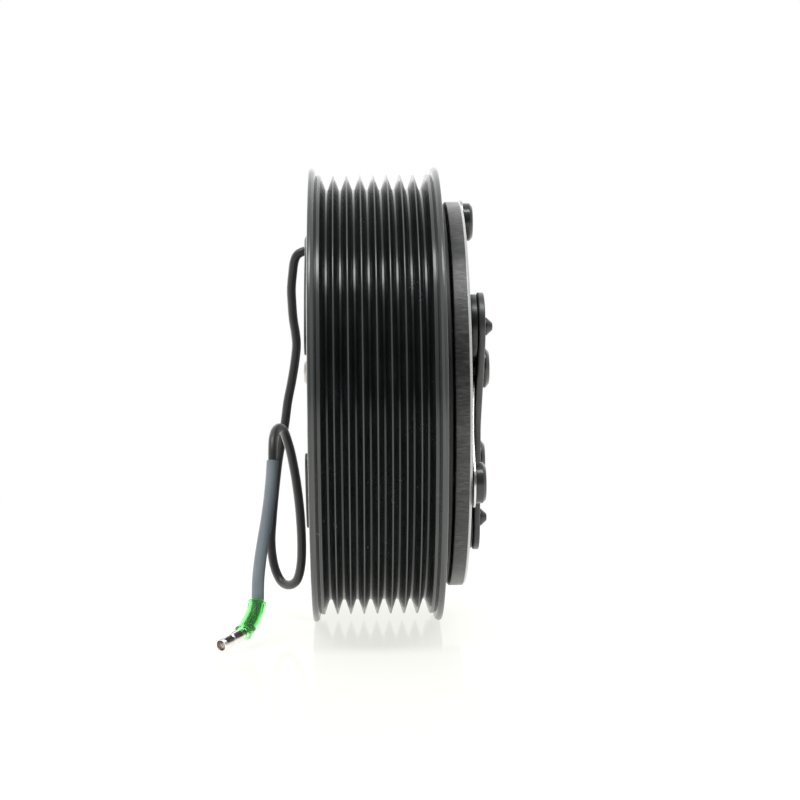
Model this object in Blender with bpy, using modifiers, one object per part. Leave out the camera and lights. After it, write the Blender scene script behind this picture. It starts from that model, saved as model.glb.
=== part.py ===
"""Electromagnetic clutch of a car's air-conditioning compressor.

The shaft runs along X: +X points from the compressor to the armature, and +Z is up. The origin is
on the shaft's axis, in the rear face of the coil's mounting plate. The constants are in millimetres
and degrees. A place along the shaft is its distance from the origin, and an angle about the shaft
counts from +Y towards +Z. Turned pieces are made about local Z, under an empty that lays local Z
along the shaft.
"""

import math

import bmesh
import bpy
from mathutils import Vector

MM = 0.001
GAP = 0.3  # kept between pieces that touch

# Driving dimensions.
RIB_PITCH = 3.56
GROOVES = 8
PULLEY_RADIUS = 59.5  # over the belt ribs
RIM_MIDDLE = 17.5
RIM_HALF_WIDTH = 17.2
FRICTION_FACE = 36.2
AIR_GAP = 0.5
BEARING_MIDDLE = 18.5
BEARING_HALF_WIDTH = 10.0
BEARING_BORE_RADIUS = 17.5
BEARING_OUTER_RADIUS = 27.5
BALLS = 12
SPOKES = 3
LEAD_RADIUS = 1.25

# Pulley rim.
FLANGE_RADIUS = 61.5
FLANGE_CROWN = 16.4  # from the middle of the rim
RIM_BORE_RADIUS = 52.1
RIB_HALF_CREST = 0.15
ROOT_HALF_WIDTH = 0.35
ROOT_RADIUS = 55.6
RELIEF_RADIUS = 58.0  # between the last rib and the flange
RIM_CHAMFER = 0.8

# Rotor.
ROTOR_RADIUS = 51.8
ROTOR_DISC_BACK = 31.0
ROTOR_WALL_REAR = 28.8  # the wall in front of the bearing
ROTOR_WALL_RADIUS = 25.0
TUBE_INNER_RADIUS = 27.8
TUBE_OUTER_RADIUS = 31.3
TUBE_REAR = 4.5
ROTOR_SLOT_WIDTH = 2.2
ROTOR_SLOTS = ((46.0, 6, 44.0), (38.0, 4, 68.0))  # radius, how many, degrees each

# Bearing.
BALL_RADIUS = 3.2
RACE_CLEARANCE = 0.25
INNER_RACE_RADIUS = 21.0
OUTER_RACE_RADIUS = 24.5
BALL_CIRCLE_RADIUS = (BEARING_BORE_RADIUS + BEARING_OUTER_RADIUS) / 2
CAGE_INNER_RADIUS = 21.4
CAGE_OUTER_RADIUS = 24.1
CAGE_HALF_WIDTH = 5.0
POCKET_CLEARANCE = 0.6
POCKET_DEPTH = 8.0
SEAL_THICKNESS = 0.8
SEAL_INSET = 0.5
RETAINER_THICKNESS = 1.2
RETAINER_INNER_RADIUS = 25.2
RETAINER_OUTER_RADIUS = 28.5
RETAINER_GAP_ANGLE = 20.0

# Coil.
PLATE_THICKNESS = 2.0
PLATE_HOLE_RADIUS = 24.0
PLATE_RADIUS = 44.5
PLATE_FLAT = -40.0  # height of the flat at the bottom of the plate
HOUSING_REAR = PLATE_THICKNESS + GAP
HOUSING_FRONT = 29.0
HOUSING_WALL = 2.0
HOUSING_CHAMFER = 0.6
HOUSING_INNER_RADIUS = 32.4
HOUSING_OUTER_RADIUS = 50.8
BOBBIN_FRONT = 26.5
BOBBIN_WALL = 1.2
POTTING_THICKNESS = 2.0
PLATE_RIVETS = (48.0, 168.0, 300.0)
PLATE_RIVET_CIRCLE = 41.2
PLATE_RIVET_HEAD_RADIUS = 3.0
PLATE_RIVET_SHANK_RADIUS = 2.0
PLATE_RIVET_PROUD = 0.9
COVER_ANGLES = (101.0, 157.0)
COVER_RADII = (37.5, 44.0)
COVER_PROUD = 0.7
TAB_ANGLES = (201.0, 226.0)
TAB_RADII = (38.5, 44.0)
TAB_PROUD = 0.8
SEAT_DEPTH = 0.8  # of the recesses round the rivet heads and the grommet

# Hub and armature.
ARMATURE_REAR = FRICTION_FACE + AIR_GAP
ARMATURE_THICKNESS = 4.3
ARMATURE_RADIUS = 52.1
ARMATURE_HOLE_RADIUS = 24.5
ARMATURE_CHAMFER = 0.5
ARMATURE_SLOT_RADIUS = 42.7
ARMATURE_SLOT_WIDTH = 1.6
ARMATURE_SLOT_ANGLE = 34.0
LEAF_THICKNESS = 0.6
LEAF_HALF_WIDTH = 6.2
LEAF_RISE = 1.0
LEAF_FIRST_INNER_ANGLE = 154.5
LEAF_FIRST_OUTER_ANGLE = 204.7
INNER_RIVET_CIRCLE = 18.4
OUTER_RIVET_CIRCLE = 46.9
RIVET_SHANK_RADIUS = 2.5
RIVET_HOLE_RADIUS = RIVET_SHANK_RADIUS + GAP
OUTER_RIVET_HEAD_RADIUS = 5.2
OUTER_RIVET_HEAD_HEIGHT = 2.4
INNER_RIVET_HEAD_RADIUS = 5.4
INNER_RIVET_HEAD_HEIGHT = 1.8
RIVET_TAIL_RADIUS = 3.5
RIVET_TAIL_HEIGHT = 1.3
RIVET_HEAD_CHAMFER = 0.7
HUB_FLANGE_RADIUS = 23.0
HUB_FLANGE_REAR = 40.0
HUB_FLANGE_FRONT = 41.5
HUB_BOSS_RADIUS = 13.0
HUB_BOSS_REAR = 24.0
HUB_BOSS_CHAMFER = 0.8
HUB_NOSE_RADIUS = 10.4
HUB_NOSE_FRONT = 44.8
HUB_BORE_RADIUS = 7.5
HUB_PLATE_REAR = 43.6
HUB_PLATE_FRONT = 45.3
WAIST_RADIUS = 18.5
WAIST_ROUNDING = 8.0
LOBE_CIRCLE = 33.8
LOBE_RADIUS = 8.8
LOBE_FIRST_ANGLE = 145.4
BUMPER_STEM_RADIUS = 1.5
BUMPER_PAD_RADIUS = 8.4
BUMPER_DOME_RADIUS = 2.4
BUMPER_TIP = 47.7
SHIM_THICKNESS = 0.6
SHIM_RADII = (7.9, 11.0)

# Lead, in world millimetres. It leaves the grommet rearward, hangs, and folds back up and down.
GROMMET_PLACE = (3.0, 39.3)  # Y and Z
GROMMET_FLANGE_RADIUS = 4.0
GROMMET_BODY_RADIUS = 2.9
GROMMET_BORE_RADIUS = LEAD_RADIUS + GAP
GROMMET_REAR = -1.2
LEAD_ROUTE = (
    (2.5, 3.0, 39.3),
    (-0.6, 3.0, 39.3),
    (-3.1, 3.0, 38.3),
    (-4.1, 3.2, 36.4),
    (-4.6, 3.4, 33.2),
    (-5.0, 3.6, 29.1),
    (-4.9, 3.5, 25.0),
    (-4.6, 3.3, 20.7),
    (-4.0, 3.1, 16.6),
    (-3.8, 3.0, 13.3),
    (-4.3, 3.0, 8.9),
    (-5.2, 3.0, 3.7),
    (-6.4, 3.0, -2.1),
    (-7.4, 3.0, -8.9),
    (-9.1, 3.0, -17.5),
    (-10.2, 3.0, -26.0),
    (-11.0, 2.6, -34.0),
    (-11.4, 1.8, -40.8),
    (-10.6, 0.5, -46.9),
    (-8.7, -1.3, -50.9),
    (-6.3, -3.7, -51.6),
    (-4.1, -5.7, -49.7),
    (-3.0, -6.8, -45.0),
    (-2.8, -7.1, -38.4),
    (-3.2, -6.9, -30.4),
    (-4.1, -6.4, -22.5),
    (-5.3, -6.2, -15.7),
    (-6.2, -7.0, -12.0),
    (-7.0, -8.4, -9.4),
    (-8.0, -10.6, -8.0),
    (-9.1, -13.4, -8.4),
    (-9.7, -16.0, -10.3),
    (-9.8, -17.8, -12.7),
    (-9.8, -18.9, -15.1),
)
SLEEVE_RADIUS = 1.6
SLEEVE_ROUTE = (
    (-9.8, -19.3, -16.0),
    (-10.1, -21.1, -20.8),
    (-10.6, -23.3, -25.8),
    (-11.3, -25.5, -30.7),
    (-12.2, -27.9, -35.9),
    (-12.9, -30.0, -40.5),
    (-13.4, -32.1, -45.3),
    (-13.5, -33.9, -50.1),
)
INSULATOR_RADIUS = 2.3
INSULATOR_ROUTE = (
    (-13.6, -34.2, -50.7),
    (-14.0, -35.5, -52.6),
    (-14.8, -37.2, -54.4),
    (-15.8, -39.2, -55.9),
    (-16.9, -41.3, -57.2),
)
BULLET_START = (-17.3, -42.0, -57.5)
BULLET_END = (-22.1, -49.0, -58.9)
BULLET_RADIUS = 1.8
BULLET_BEAD_LENGTH = 4.0
BULLET_BARREL_RADIUS = 1.5
BULLET_NECK_RADIUS = 1.1
BULLET_HOLLOW_RADIUS = 1.1
BULLET_HOLLOW_DEPTH = 2.2

TURN_STEPS = 32
SMALL_STEPS = 12

PAINT_BLACK = ("black_paint", (0.022, 0.025, 0.025), 0.34, 0.2)
DARK_STEEL = ("dark_steel", (0.06, 0.063, 0.062), 0.42, 0.7)
BARE_STEEL = ("bare_steel", (0.46, 0.46, 0.45), 0.3, 1.0)
SPRING_STEEL = ("spring_steel", (0.5, 0.5, 0.49), 0.26, 1.0)
COPPER = ("copper_winding", (0.5, 0.2, 0.09), 0.35, 0.9)
RESIN = ("black_resin", (0.02, 0.02, 0.022), 0.45, 0.0)
RUBBER = ("black_rubber", (0.018, 0.018, 0.018), 0.65, 0.0)
NYLON = ("cage_nylon", (0.3, 0.27, 0.2), 0.5, 0.0)
SLEEVE_GREY = ("grey_sleeve", (0.2, 0.25, 0.29), 0.5, 0.0)
GREEN_PVC = ("green_pvc", (0.02, 0.55, 0.12), 0.25, 0.0)
TINNED = ("tinned_brass", (0.72, 0.7, 0.66), 0.2, 1.0)


def clear_scene():
    for obj in list(bpy.data.objects):
        bpy.data.objects.remove(obj, do_unlink=True)


def new_collection(name):
    collection = bpy.data.collections.new(name)
    bpy.context.scene.collection.children.link(collection)
    return collection


def new_axis(name, parent=None):
    """An empty on the shaft's axis. The first of a chain lays its local Z along the shaft."""
    empty = bpy.data.objects.new(name, None)
    PARTS.objects.link(empty)
    empty.empty_display_size = 10 * MM
    empty.parent = parent
    if parent is None:
        empty.rotation_euler = (0, math.radians(90), 0)
    return empty


def material_of(finish):
    name, colour, roughness, metallic = finish
    if name in bpy.data.materials:
        return bpy.data.materials[name]
    material = bpy.data.materials.new(name)
    material.use_nodes = True
    shader = material.node_tree.nodes["Principled BSDF"]
    shader.inputs["Base Color"].default_value = (*colour, 1)
    shader.inputs["Roughness"].default_value = roughness
    shader.inputs["Metallic"].default_value = metallic
    return material


def new_part(name, mesh, parent, finish):
    part = bpy.data.objects.new(name, mesh)
    PARTS.objects.link(part)
    part.parent = parent
    part.data.materials.append(material_of(finish))
    return part


def new_cutter(name, mesh, parent):
    cutter = bpy.data.objects.new(name, mesh)
    CUTTERS.objects.link(cutter)
    cutter.parent = parent
    cutter.hide_render = True
    cutter.display_type = "WIRE"
    return cutter


def polar(radius, angle):
    """Local x and y of a point at this radius and this angle about the shaft, in millimetres."""
    turned_angle = math.radians(angle + 90)
    return Vector((radius * math.cos(turned_angle), radius * math.sin(turned_angle)))


def spaced(first, last, count):
    return [first + (last - first) * i / (count - 1) for i in range(count)]


def ring(inner, outer, low, high):
    """Profile of a plain ring, down its outer side and up its bore."""
    return [(outer, high), (outer, low), (inner, low), (inner, high)]


def turned(name, profile, parent, finish, steps=TURN_STEPS, place=(0, 0)):
    """Turns a profile of (radius, place along the axis) points. One that starts and ends at
    radius 0 makes a solid piece, and any other is closed into a ring."""
    mesh = bpy.data.meshes.new(name)
    ends = [(i, i + 1) for i in range(len(profile) - 1)]
    if profile[0][0] > 0:
        ends.append((len(profile) - 1, 0))
    mesh.from_pydata([(radius * MM, 0, along * MM) for radius, along in profile], ends, [])
    part = new_part(name, mesh, parent, finish)
    part.location = (place[0] * MM, place[1] * MM, 0)
    screw = part.modifiers.new("Turn", "SCREW")
    screw.axis = "Z"
    screw.angle = math.radians(360)
    screw.steps = steps
    screw.render_steps = steps
    screw.use_merge_vertices = True
    screw.merge_threshold = 0.00001
    return part


def outline_mesh(name, loops, low, high):
    """A flat piece between two places along the shaft. Loops inside the first one are holes."""
    curve = bpy.data.curves.new(name, "CURVE")
    curve.dimensions = "2D"
    curve.fill_mode = "BOTH"
    curve.extrude = (high - low) / 2 * MM
    for loop in loops:
        spline = curve.splines.new("POLY")
        spline.points.add(len(loop) - 1)
        for point, (x, y) in zip(spline.points, loop):
            point.co = (x * MM, y * MM, 0, 1)
        spline.use_cyclic_u = True
    shape = bpy.data.objects.new(name, curve)
    PARTS.objects.link(shape)
    graph = bpy.context.evaluated_depsgraph_get()
    mesh = bpy.data.meshes.new_from_object(shape.evaluated_get(graph))
    bpy.data.objects.remove(shape)
    work = bmesh.new()
    work.from_mesh(mesh)
    bmesh.ops.remove_doubles(work, verts=work.verts, dist=0.000001)
    bmesh.ops.recalc_face_normals(work, faces=work.faces)
    bmesh.ops.translate(work, verts=work.verts, vec=(0, 0, (low + high) / 2 * MM))
    work.to_mesh(mesh)
    work.free()
    return mesh


def circle(centre, radius, sides):
    angles = [math.radians(360 * i / sides) for i in range(sides)]
    return [(centre[0] + radius * math.cos(a), centre[1] + radius * math.sin(a)) for a in angles]


def arc_band(inner, outer, first, last, count):
    """Outline of a band between two radii, with its ends rounded to a blunt point."""
    angles = spaced(first, last, count)
    middle = (inner + outer) / 2
    end_turn = math.degrees((outer - inner) / 2 / middle)
    band = [polar(outer, angle) for angle in angles]
    band.append(polar(middle, last + end_turn))
    band += [polar(inner, angle) for angle in reversed(angles)]
    band.append(polar(middle, first - end_turn))
    return band


def cut(part, cutter):
    modifier = part.modifiers.new("Cut", "BOOLEAN")
    modifier.operation = "DIFFERENCE"
    modifier.object = cutter


def cut_hole(part, centre, radius, low, high, sides=10):
    """Cuts a round hole along the shaft through a piece that turns about it."""
    mesh = outline_mesh(part.name + "_hole", [circle(centre, radius, sides)], low, high)
    cut(part, new_cutter(part.name + "_hole", mesh, part.parent))


def cut_arc_slot(part, radius, width, angles, low, high):
    band = arc_band(radius - width / 2, radius + width / 2, *angles, 6)
    mesh = outline_mesh(part.name + "_slot", [band], low, high)
    cut(part, new_cutter(part.name + "_slot", mesh, part.parent))


def smooth_route(route, spacing):
    """Evenly spaced points on a Catmull-Rom curve through the route."""
    points = [Vector(point) for point in route]
    points = [points[0] * 2 - points[1], *points, points[-1] * 2 - points[-2]]
    fine = []
    for a, b, c, d in zip(points, points[1:], points[2:], points[3:]):
        for step in range(16):
            t = step / 16
            bend = (a * 2 - b * 5 + c * 4 - d) * 0.5 + (b * 3 - a - c * 3 + d) * 0.5 * t
            fine.append(b + (c - a) * 0.5 * t + bend * t * t)
    fine.append(points[-2])
    gone = [0.0]
    for near, far in zip(fine, fine[1:]):
        gone.append(gone[-1] + (far - near).length)
    count = max(2, round(gone[-1] / spacing)) + 1
    even = []
    for i in range(count):
        wanted = gone[-1] * i / (count - 1)
        after = next((k for k in range(1, len(gone)) if gone[k] >= wanted), len(gone) - 1)
        share = (wanted - gone[after - 1]) / (gone[after] - gone[after - 1])
        even.append(fine[after - 1].lerp(fine[after], share))
    return even


def tube(name, route, radius, finish, spacing):
    """A round piece along a smooth curve through the route, in world millimetres."""
    points = smooth_route(route, spacing)
    curve = bpy.data.curves.new(name, "CURVE")
    curve.dimensions = "3D"
    curve.bevel_depth = radius * MM
    curve.bevel_resolution = 2
    curve.use_fill_caps = True
    spline = curve.splines.new("POLY")
    spline.points.add(len(points) - 1)
    for place, point in zip(spline.points, points):
        place.co = (*(point * MM), 1)
    part = bpy.data.objects.new(name, curve)
    PARTS.objects.link(part)
    curve.materials.append(material_of(finish))
    return part


def rim_profile():
    """Down the outer side, from the front flange over the ribs to the rear one, then the bore."""
    front_lip = [
        (FLANGE_RADIUS - 1.2, RIM_HALF_WIDTH),
        (FLANGE_RADIUS - 0.3, RIM_HALF_WIDTH - 0.25),
        (FLANGE_RADIUS, FLANGE_CROWN),
        (FLANGE_RADIUS - 0.5, FLANGE_CROWN - 0.8),
        (FLANGE_RADIUS - 1.8, FLANGE_CROWN - 1.2),
        (RELIEF_RADIUS, FLANGE_CROWN - 1.45),
    ]
    ribs = []
    for rib in range(GROOVES + 1):
        crest = (GROOVES / 2 - rib) * RIB_PITCH
        ribs.append((PULLEY_RADIUS, crest + RIB_HALF_CREST))
        ribs.append((PULLEY_RADIUS, crest - RIB_HALF_CREST))
        if rib < GROOVES:
            root = crest - RIB_PITCH / 2
            ribs.append((ROOT_RADIUS, root + ROOT_HALF_WIDTH))
            ribs.append((ROOT_RADIUS, root - ROOT_HALF_WIDTH))
    rear_lip = [(radius, -along) for radius, along in reversed(front_lip)]
    bore = [
        (RIM_BORE_RADIUS + RIM_CHAMFER, -RIM_HALF_WIDTH),
        (RIM_BORE_RADIUS, -RIM_HALF_WIDTH + RIM_CHAMFER),
        (RIM_BORE_RADIUS, RIM_HALF_WIDTH - RIM_CHAMFER),
        (RIM_BORE_RADIUS + RIM_CHAMFER, RIM_HALF_WIDTH),
    ]
    return [(radius, RIM_MIDDLE + along) for radius, along in front_lip + ribs + rear_lip + bore]


def make_rim(pulley):
    turned("pulley_rim", rim_profile(), pulley, PAINT_BLACK)


def make_rotor(pulley):
    """Friction disc, front wall in front of the bearing and the tube that the bearing sits in."""
    groove_front = BEARING_MIDDLE - BEARING_HALF_WIDTH
    groove_rear = groove_front - RETAINER_THICKNESS - 2 * GAP
    groove_radius = RETAINER_OUTER_RADIUS + GAP
    profile = [
        (ROTOR_RADIUS - 0.5, FRICTION_FACE),
        (ROTOR_RADIUS, FRICTION_FACE - 0.5),
        (ROTOR_RADIUS, ROTOR_DISC_BACK),
        (TUBE_OUTER_RADIUS, ROTOR_DISC_BACK),
        (TUBE_OUTER_RADIUS, TUBE_REAR),
        (TUBE_INNER_RADIUS, TUBE_REAR),
        (TUBE_INNER_RADIUS, groove_rear),
        (groove_radius, groove_rear),
        (groove_radius, groove_front),
        (TUBE_INNER_RADIUS, groove_front),
        (TUBE_INNER_RADIUS, ROTOR_WALL_REAR),
        (ROTOR_WALL_RADIUS, ROTOR_WALL_REAR),
        (ROTOR_WALL_RADIUS, FRICTION_FACE - 0.6),
        (ROTOR_WALL_RADIUS + 0.6, FRICTION_FACE),
    ]
    rotor = turned("rotor_body", profile, pulley, DARK_STEEL)
    for radius, count, length in ROTOR_SLOTS:
        for slot in range(count):
            first = 360 * slot / count
            angles = (first, first + length)
            cut_arc_slot(rotor, radius, ROTOR_SLOT_WIDTH, angles, ROTOR_DISC_BACK - 1, FRICTION_FACE + 1)


def race_groove(side):
    """The ball groove's points, from its front edge to its rear one. Side is 1 on the inner race,
    whose groove sinks towards the axis, and -1 on the outer one."""
    edge = INNER_RACE_RADIUS if side > 0 else OUTER_RACE_RADIUS
    radius = BALL_RADIUS + RACE_CLEARANCE
    reach = math.acos((BALL_CIRCLE_RADIUS - edge) * side / radius)
    turns = spaced(reach, -reach, 5)
    return [
        (BALL_CIRCLE_RADIUS - side * radius * math.cos(turn), BEARING_MIDDLE + radius * math.sin(turn))
        for turn in turns
    ]


def make_races(stator, pulley):
    front = BEARING_MIDDLE + BEARING_HALF_WIDTH
    rear = BEARING_MIDDLE - BEARING_HALF_WIDTH
    inner = [(INNER_RACE_RADIUS, front), *race_groove(1)]
    inner += [(INNER_RACE_RADIUS, rear), (BEARING_BORE_RADIUS, rear), (BEARING_BORE_RADIUS, front)]
    turned("bearing_inner_race", inner, stator, BARE_STEEL)
    outer = [(BEARING_OUTER_RADIUS, front), (BEARING_OUTER_RADIUS, rear), (OUTER_RACE_RADIUS, rear)]
    outer += [*reversed(race_groove(-1)), (OUTER_RACE_RADIUS, front)]
    turned("bearing_outer_race", outer, pulley, BARE_STEEL)


def make_seals(pulley):
    """Two rubber lip seals. Each turns with the outer race and clears the inner one."""
    for name, side in (("bearing_seal_front", 1), ("bearing_seal_rear", -1)):
        outside = BEARING_MIDDLE + side * (BEARING_HALF_WIDTH - SEAL_INSET)
        inside = outside - side * SEAL_THICKNESS
        low, high = sorted((outside, inside))
        profile = ring(INNER_RACE_RADIUS + GAP, OUTER_RACE_RADIUS - GAP, low, high)
        turned(name, profile, pulley, RUBBER, steps=28)


def make_retaining_ring(pulley):
    """Open spring ring in the rotor tube's groove, behind the bearing."""
    rear = BEARING_MIDDLE - BEARING_HALF_WIDTH - GAP - RETAINER_THICKNESS
    half_gap = RETAINER_GAP_ANGLE / 2
    band = [polar(RETAINER_OUTER_RADIUS, a) for a in spaced(270 + half_gap, 630 - half_gap, 29)]
    band += [polar(RETAINER_INNER_RADIUS, a) for a in spaced(630 - half_gap, 270 + half_gap, 29)]
    mesh = outline_mesh("bearing_retaining_ring", [band], rear, rear + RETAINER_THICKNESS)
    new_part("bearing_retaining_ring", mesh, pulley, SPRING_STEEL)


def make_cage(cage):
    """A ring between the races, with a round pocket through it for each ball."""
    low = BEARING_MIDDLE - CAGE_HALF_WIDTH
    high = BEARING_MIDDLE + CAGE_HALF_WIDTH
    profile = ring(CAGE_INNER_RADIUS, CAGE_OUTER_RADIUS, low, high)
    ring_part = turned("bearing_cage", profile, cage, NYLON)
    for ball in range(BALLS):
        mesh = bpy.data.meshes.new("pocket")
        work = bmesh.new()
        radius = (BALL_RADIUS + POCKET_CLEARANCE) * MM
        bmesh.ops.create_cone(
            work, cap_ends=True, segments=8, radius1=radius, radius2=radius, depth=POCKET_DEPTH * MM
        )
        work.to_mesh(mesh)
        work.free()
        pocket = new_cutter("pocket", mesh, cage)
        angle = 360 * ball / BALLS
        pocket.location = (*(polar(BALL_CIRCLE_RADIUS, angle) * MM), BEARING_MIDDLE * MM)
        pocket.rotation_euler = (0, math.radians(90), math.radians(angle + 90))
        cut(ring_part, pocket)


def make_balls(cage):
    for ball in range(BALLS):
        mesh = bpy.data.meshes.new("bearing_ball")
        work = bmesh.new()
        bmesh.ops.create_icosphere(work, subdivisions=2, radius=BALL_RADIUS * MM)
        work.to_mesh(mesh)
        work.free()
        part = new_part(f"bearing_ball_{ball + 1}", mesh, cage, BARE_STEEL)
        place = polar(BALL_CIRCLE_RADIUS, 360 * ball / BALLS)
        part.location = (*(place * MM), BEARING_MIDDLE * MM)


def make_coil_housing(stator):
    """Steel channel, open at the front, that holds the winding."""
    profile = [
        (HOUSING_OUTER_RADIUS, HOUSING_FRONT),
        (HOUSING_OUTER_RADIUS, HOUSING_REAR + HOUSING_CHAMFER),
        (HOUSING_OUTER_RADIUS - HOUSING_CHAMFER, HOUSING_REAR),
        (HOUSING_INNER_RADIUS, HOUSING_REAR),
        (HOUSING_INNER_RADIUS, HOUSING_FRONT),
        (HOUSING_INNER_RADIUS + HOUSING_WALL, HOUSING_FRONT),
        (HOUSING_INNER_RADIUS + HOUSING_WALL, HOUSING_REAR + HOUSING_WALL),
        (HOUSING_OUTER_RADIUS - HOUSING_WALL, HOUSING_REAR + HOUSING_WALL),
        (HOUSING_OUTER_RADIUS - HOUSING_WALL, HOUSING_FRONT),
    ]
    housing = turned("coil_housing", profile, stator, DARK_STEEL)
    low = HOUSING_REAR - 1
    high = HOUSING_REAR + HOUSING_WALL + 1
    for angle in PLATE_RIVETS:
        centre = polar(PLATE_RIVET_CIRCLE, angle)
        cut_hole(housing, centre, PLATE_RIVET_SHANK_RADIUS + GAP, low, high)
    cut_hole(housing, grommet_centre(), GROMMET_BODY_RADIUS + GAP, low, high)


def grommet_centre():
    y, z = GROMMET_PLACE
    return Vector((-z, y))


def make_winding(stator):
    """Bobbin, copper winding and the resin that closes the channel at the front."""
    inner = HOUSING_INNER_RADIUS + HOUSING_WALL + GAP
    outer = HOUSING_OUTER_RADIUS - HOUSING_WALL - GAP
    rear = HOUSING_REAR + HOUSING_WALL + GAP
    bobbin = [
        (outer, BOBBIN_FRONT),
        (outer, BOBBIN_FRONT - BOBBIN_WALL),
        (inner + BOBBIN_WALL, BOBBIN_FRONT - BOBBIN_WALL),
        (inner + BOBBIN_WALL, rear + BOBBIN_WALL),
        (outer, rear + BOBBIN_WALL),
        (outer, rear),
        (inner, rear),
        (inner, BOBBIN_FRONT),
    ]
    turned("coil_bobbin", bobbin, stator, NYLON, steps=28)
    wall = BOBBIN_WALL + GAP
    winding = ring(inner + wall, outer - 0.7, rear + wall, BOBBIN_FRONT - wall)
    turned("coil_winding", winding, stator, COPPER, steps=28)
    potting = ring(inner, outer, BOBBIN_FRONT + GAP, BOBBIN_FRONT + GAP + POTTING_THICKNESS)
    turned("coil_potting_ring", potting, stator, RESIN, steps=28)


def cut_seat(plate, centre, hole_radius, head_radius):
    """A hole through the plate, with a recess at the rear for a head or a flange."""
    cut_hole(plate, centre, hole_radius + GAP, -1, PLATE_THICKNESS + 1)
    cut_hole(plate, centre, head_radius + GAP, -1, SEAT_DEPTH)


def make_mounting_plate(stator):
    """Flat ring that seats on the compressor, with a flat at the bottom and two notches, round the
    lead's cover and the tab."""
    profile = ring(PLATE_HOLE_RADIUS, PLATE_RADIUS, 0, PLATE_THICKNESS)
    plate = turned("coil_mounting_plate", profile, stator, DARK_STEEL)
    side = PLATE_RADIUS + 5
    flat = [(-PLATE_FLAT, -side), (side, -side), (side, side), (-PLATE_FLAT, side)]
    mesh = outline_mesh("plate_flat", [flat], -2, PLATE_THICKNESS + 2)
    cut(plate, new_cutter("plate_flat", mesh, stator))
    for radii, angles in ((COVER_RADII, COVER_ANGLES), (TAB_RADII, TAB_ANGLES)):
        notch = arc_band(radii[0] - GAP, PLATE_RADIUS + 2, *angles, 12)
        mesh = outline_mesh("plate_notch", [notch], -1, PLATE_THICKNESS + 1)
        cut(plate, new_cutter("plate_notch", mesh, stator))
    for angle in PLATE_RIVETS:
        centre = polar(PLATE_RIVET_CIRCLE, angle)
        cut_seat(plate, centre, PLATE_RIVET_SHANK_RADIUS, PLATE_RIVET_HEAD_RADIUS)
    cut_seat(plate, grommet_centre(), GROMMET_BODY_RADIUS, GROMMET_FLANGE_RADIUS)


def make_plate_rivets(stator):
    end = HOUSING_REAR + HOUSING_WALL - 0.2
    profile = [
        (0, end),
        (PLATE_RIVET_SHANK_RADIUS, end),
        (PLATE_RIVET_SHANK_RADIUS, -GAP),
        (PLATE_RIVET_HEAD_RADIUS, -GAP),
        (PLATE_RIVET_HEAD_RADIUS - 0.4, -PLATE_RIVET_PROUD),
        (0, -PLATE_RIVET_PROUD),
    ]
    for number, angle in enumerate(PLATE_RIVETS, 1):
        place = polar(PLATE_RIVET_CIRCLE, angle)
        turned(f"plate_rivet_{number}", profile, stator, BARE_STEEL, SMALL_STEPS, place)


def make_plate_trim(stator):
    """The cover over the lead's joint and the tab that stops the coil turning. Both stand in
    notches of the plate."""
    front = PLATE_THICKNESS - GAP
    cover = arc_band(*COVER_RADII, *COVER_ANGLES, 12)
    mesh = outline_mesh("lead_cover", [cover], -COVER_PROUD, front)
    new_part("lead_cover", mesh, stator, RESIN)
    tab = arc_band(*TAB_RADII, *TAB_ANGLES, 6)
    mesh = outline_mesh("locating_tab", [tab], -TAB_PROUD, front)
    new_part("locating_tab", mesh, stator, DARK_STEEL)


def make_grommet(stator):
    front = HOUSING_REAR + HOUSING_WALL - 0.2
    profile = [
        (GROMMET_BODY_RADIUS, front),
        (GROMMET_BODY_RADIUS, -GAP),
        (GROMMET_FLANGE_RADIUS, -GAP),
        (GROMMET_FLANGE_RADIUS - 0.5, GROMMET_REAR),
        (GROMMET_BORE_RADIUS, GROMMET_REAR),
        (GROMMET_BORE_RADIUS, front),
    ]
    turned("lead_grommet", profile, stator, RUBBER, SMALL_STEPS, grommet_centre())


def make_lead():
    """The lead, the grey sleeve over its far half and the terminal's green insulator."""
    tube("lead_wire", LEAD_ROUTE, LEAD_RADIUS, RUBBER, 3.4)
    tube("lead_sleeve", SLEEVE_ROUTE, SLEEVE_RADIUS, SLEEVE_GREY, 4.5)
    tube("terminal_insulator", INSULATOR_ROUTE, INSULATOR_RADIUS, GREEN_PVC, 1.8)


def make_bullet():
    """Tinned pin with a crimped neck, a round bead and a hollow nose."""
    start = Vector(BULLET_START)
    along = Vector(BULLET_END) - start
    length = along.length
    bead = length - BULLET_BEAD_LENGTH
    profile = [
        (0, length - BULLET_HOLLOW_DEPTH),
        (BULLET_HOLLOW_RADIUS, length - BULLET_HOLLOW_DEPTH),
        (BULLET_HOLLOW_RADIUS + 0.2, length),
        (BULLET_RADIUS - 0.3, length),
        (BULLET_RADIUS, length - 0.8),
        (BULLET_RADIUS, bead + 0.4),
        (BULLET_BARREL_RADIUS, bead),
        (BULLET_BARREL_RADIUS, 1.0),
        (BULLET_NECK_RADIUS, 0),
        (0, 0),
    ]
    bullet = turned("bullet_terminal", profile, None, TINNED, SMALL_STEPS)
    bullet.location = start * MM
    bullet.rotation_euler = along.to_track_quat("Z", "Y").to_euler()


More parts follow.
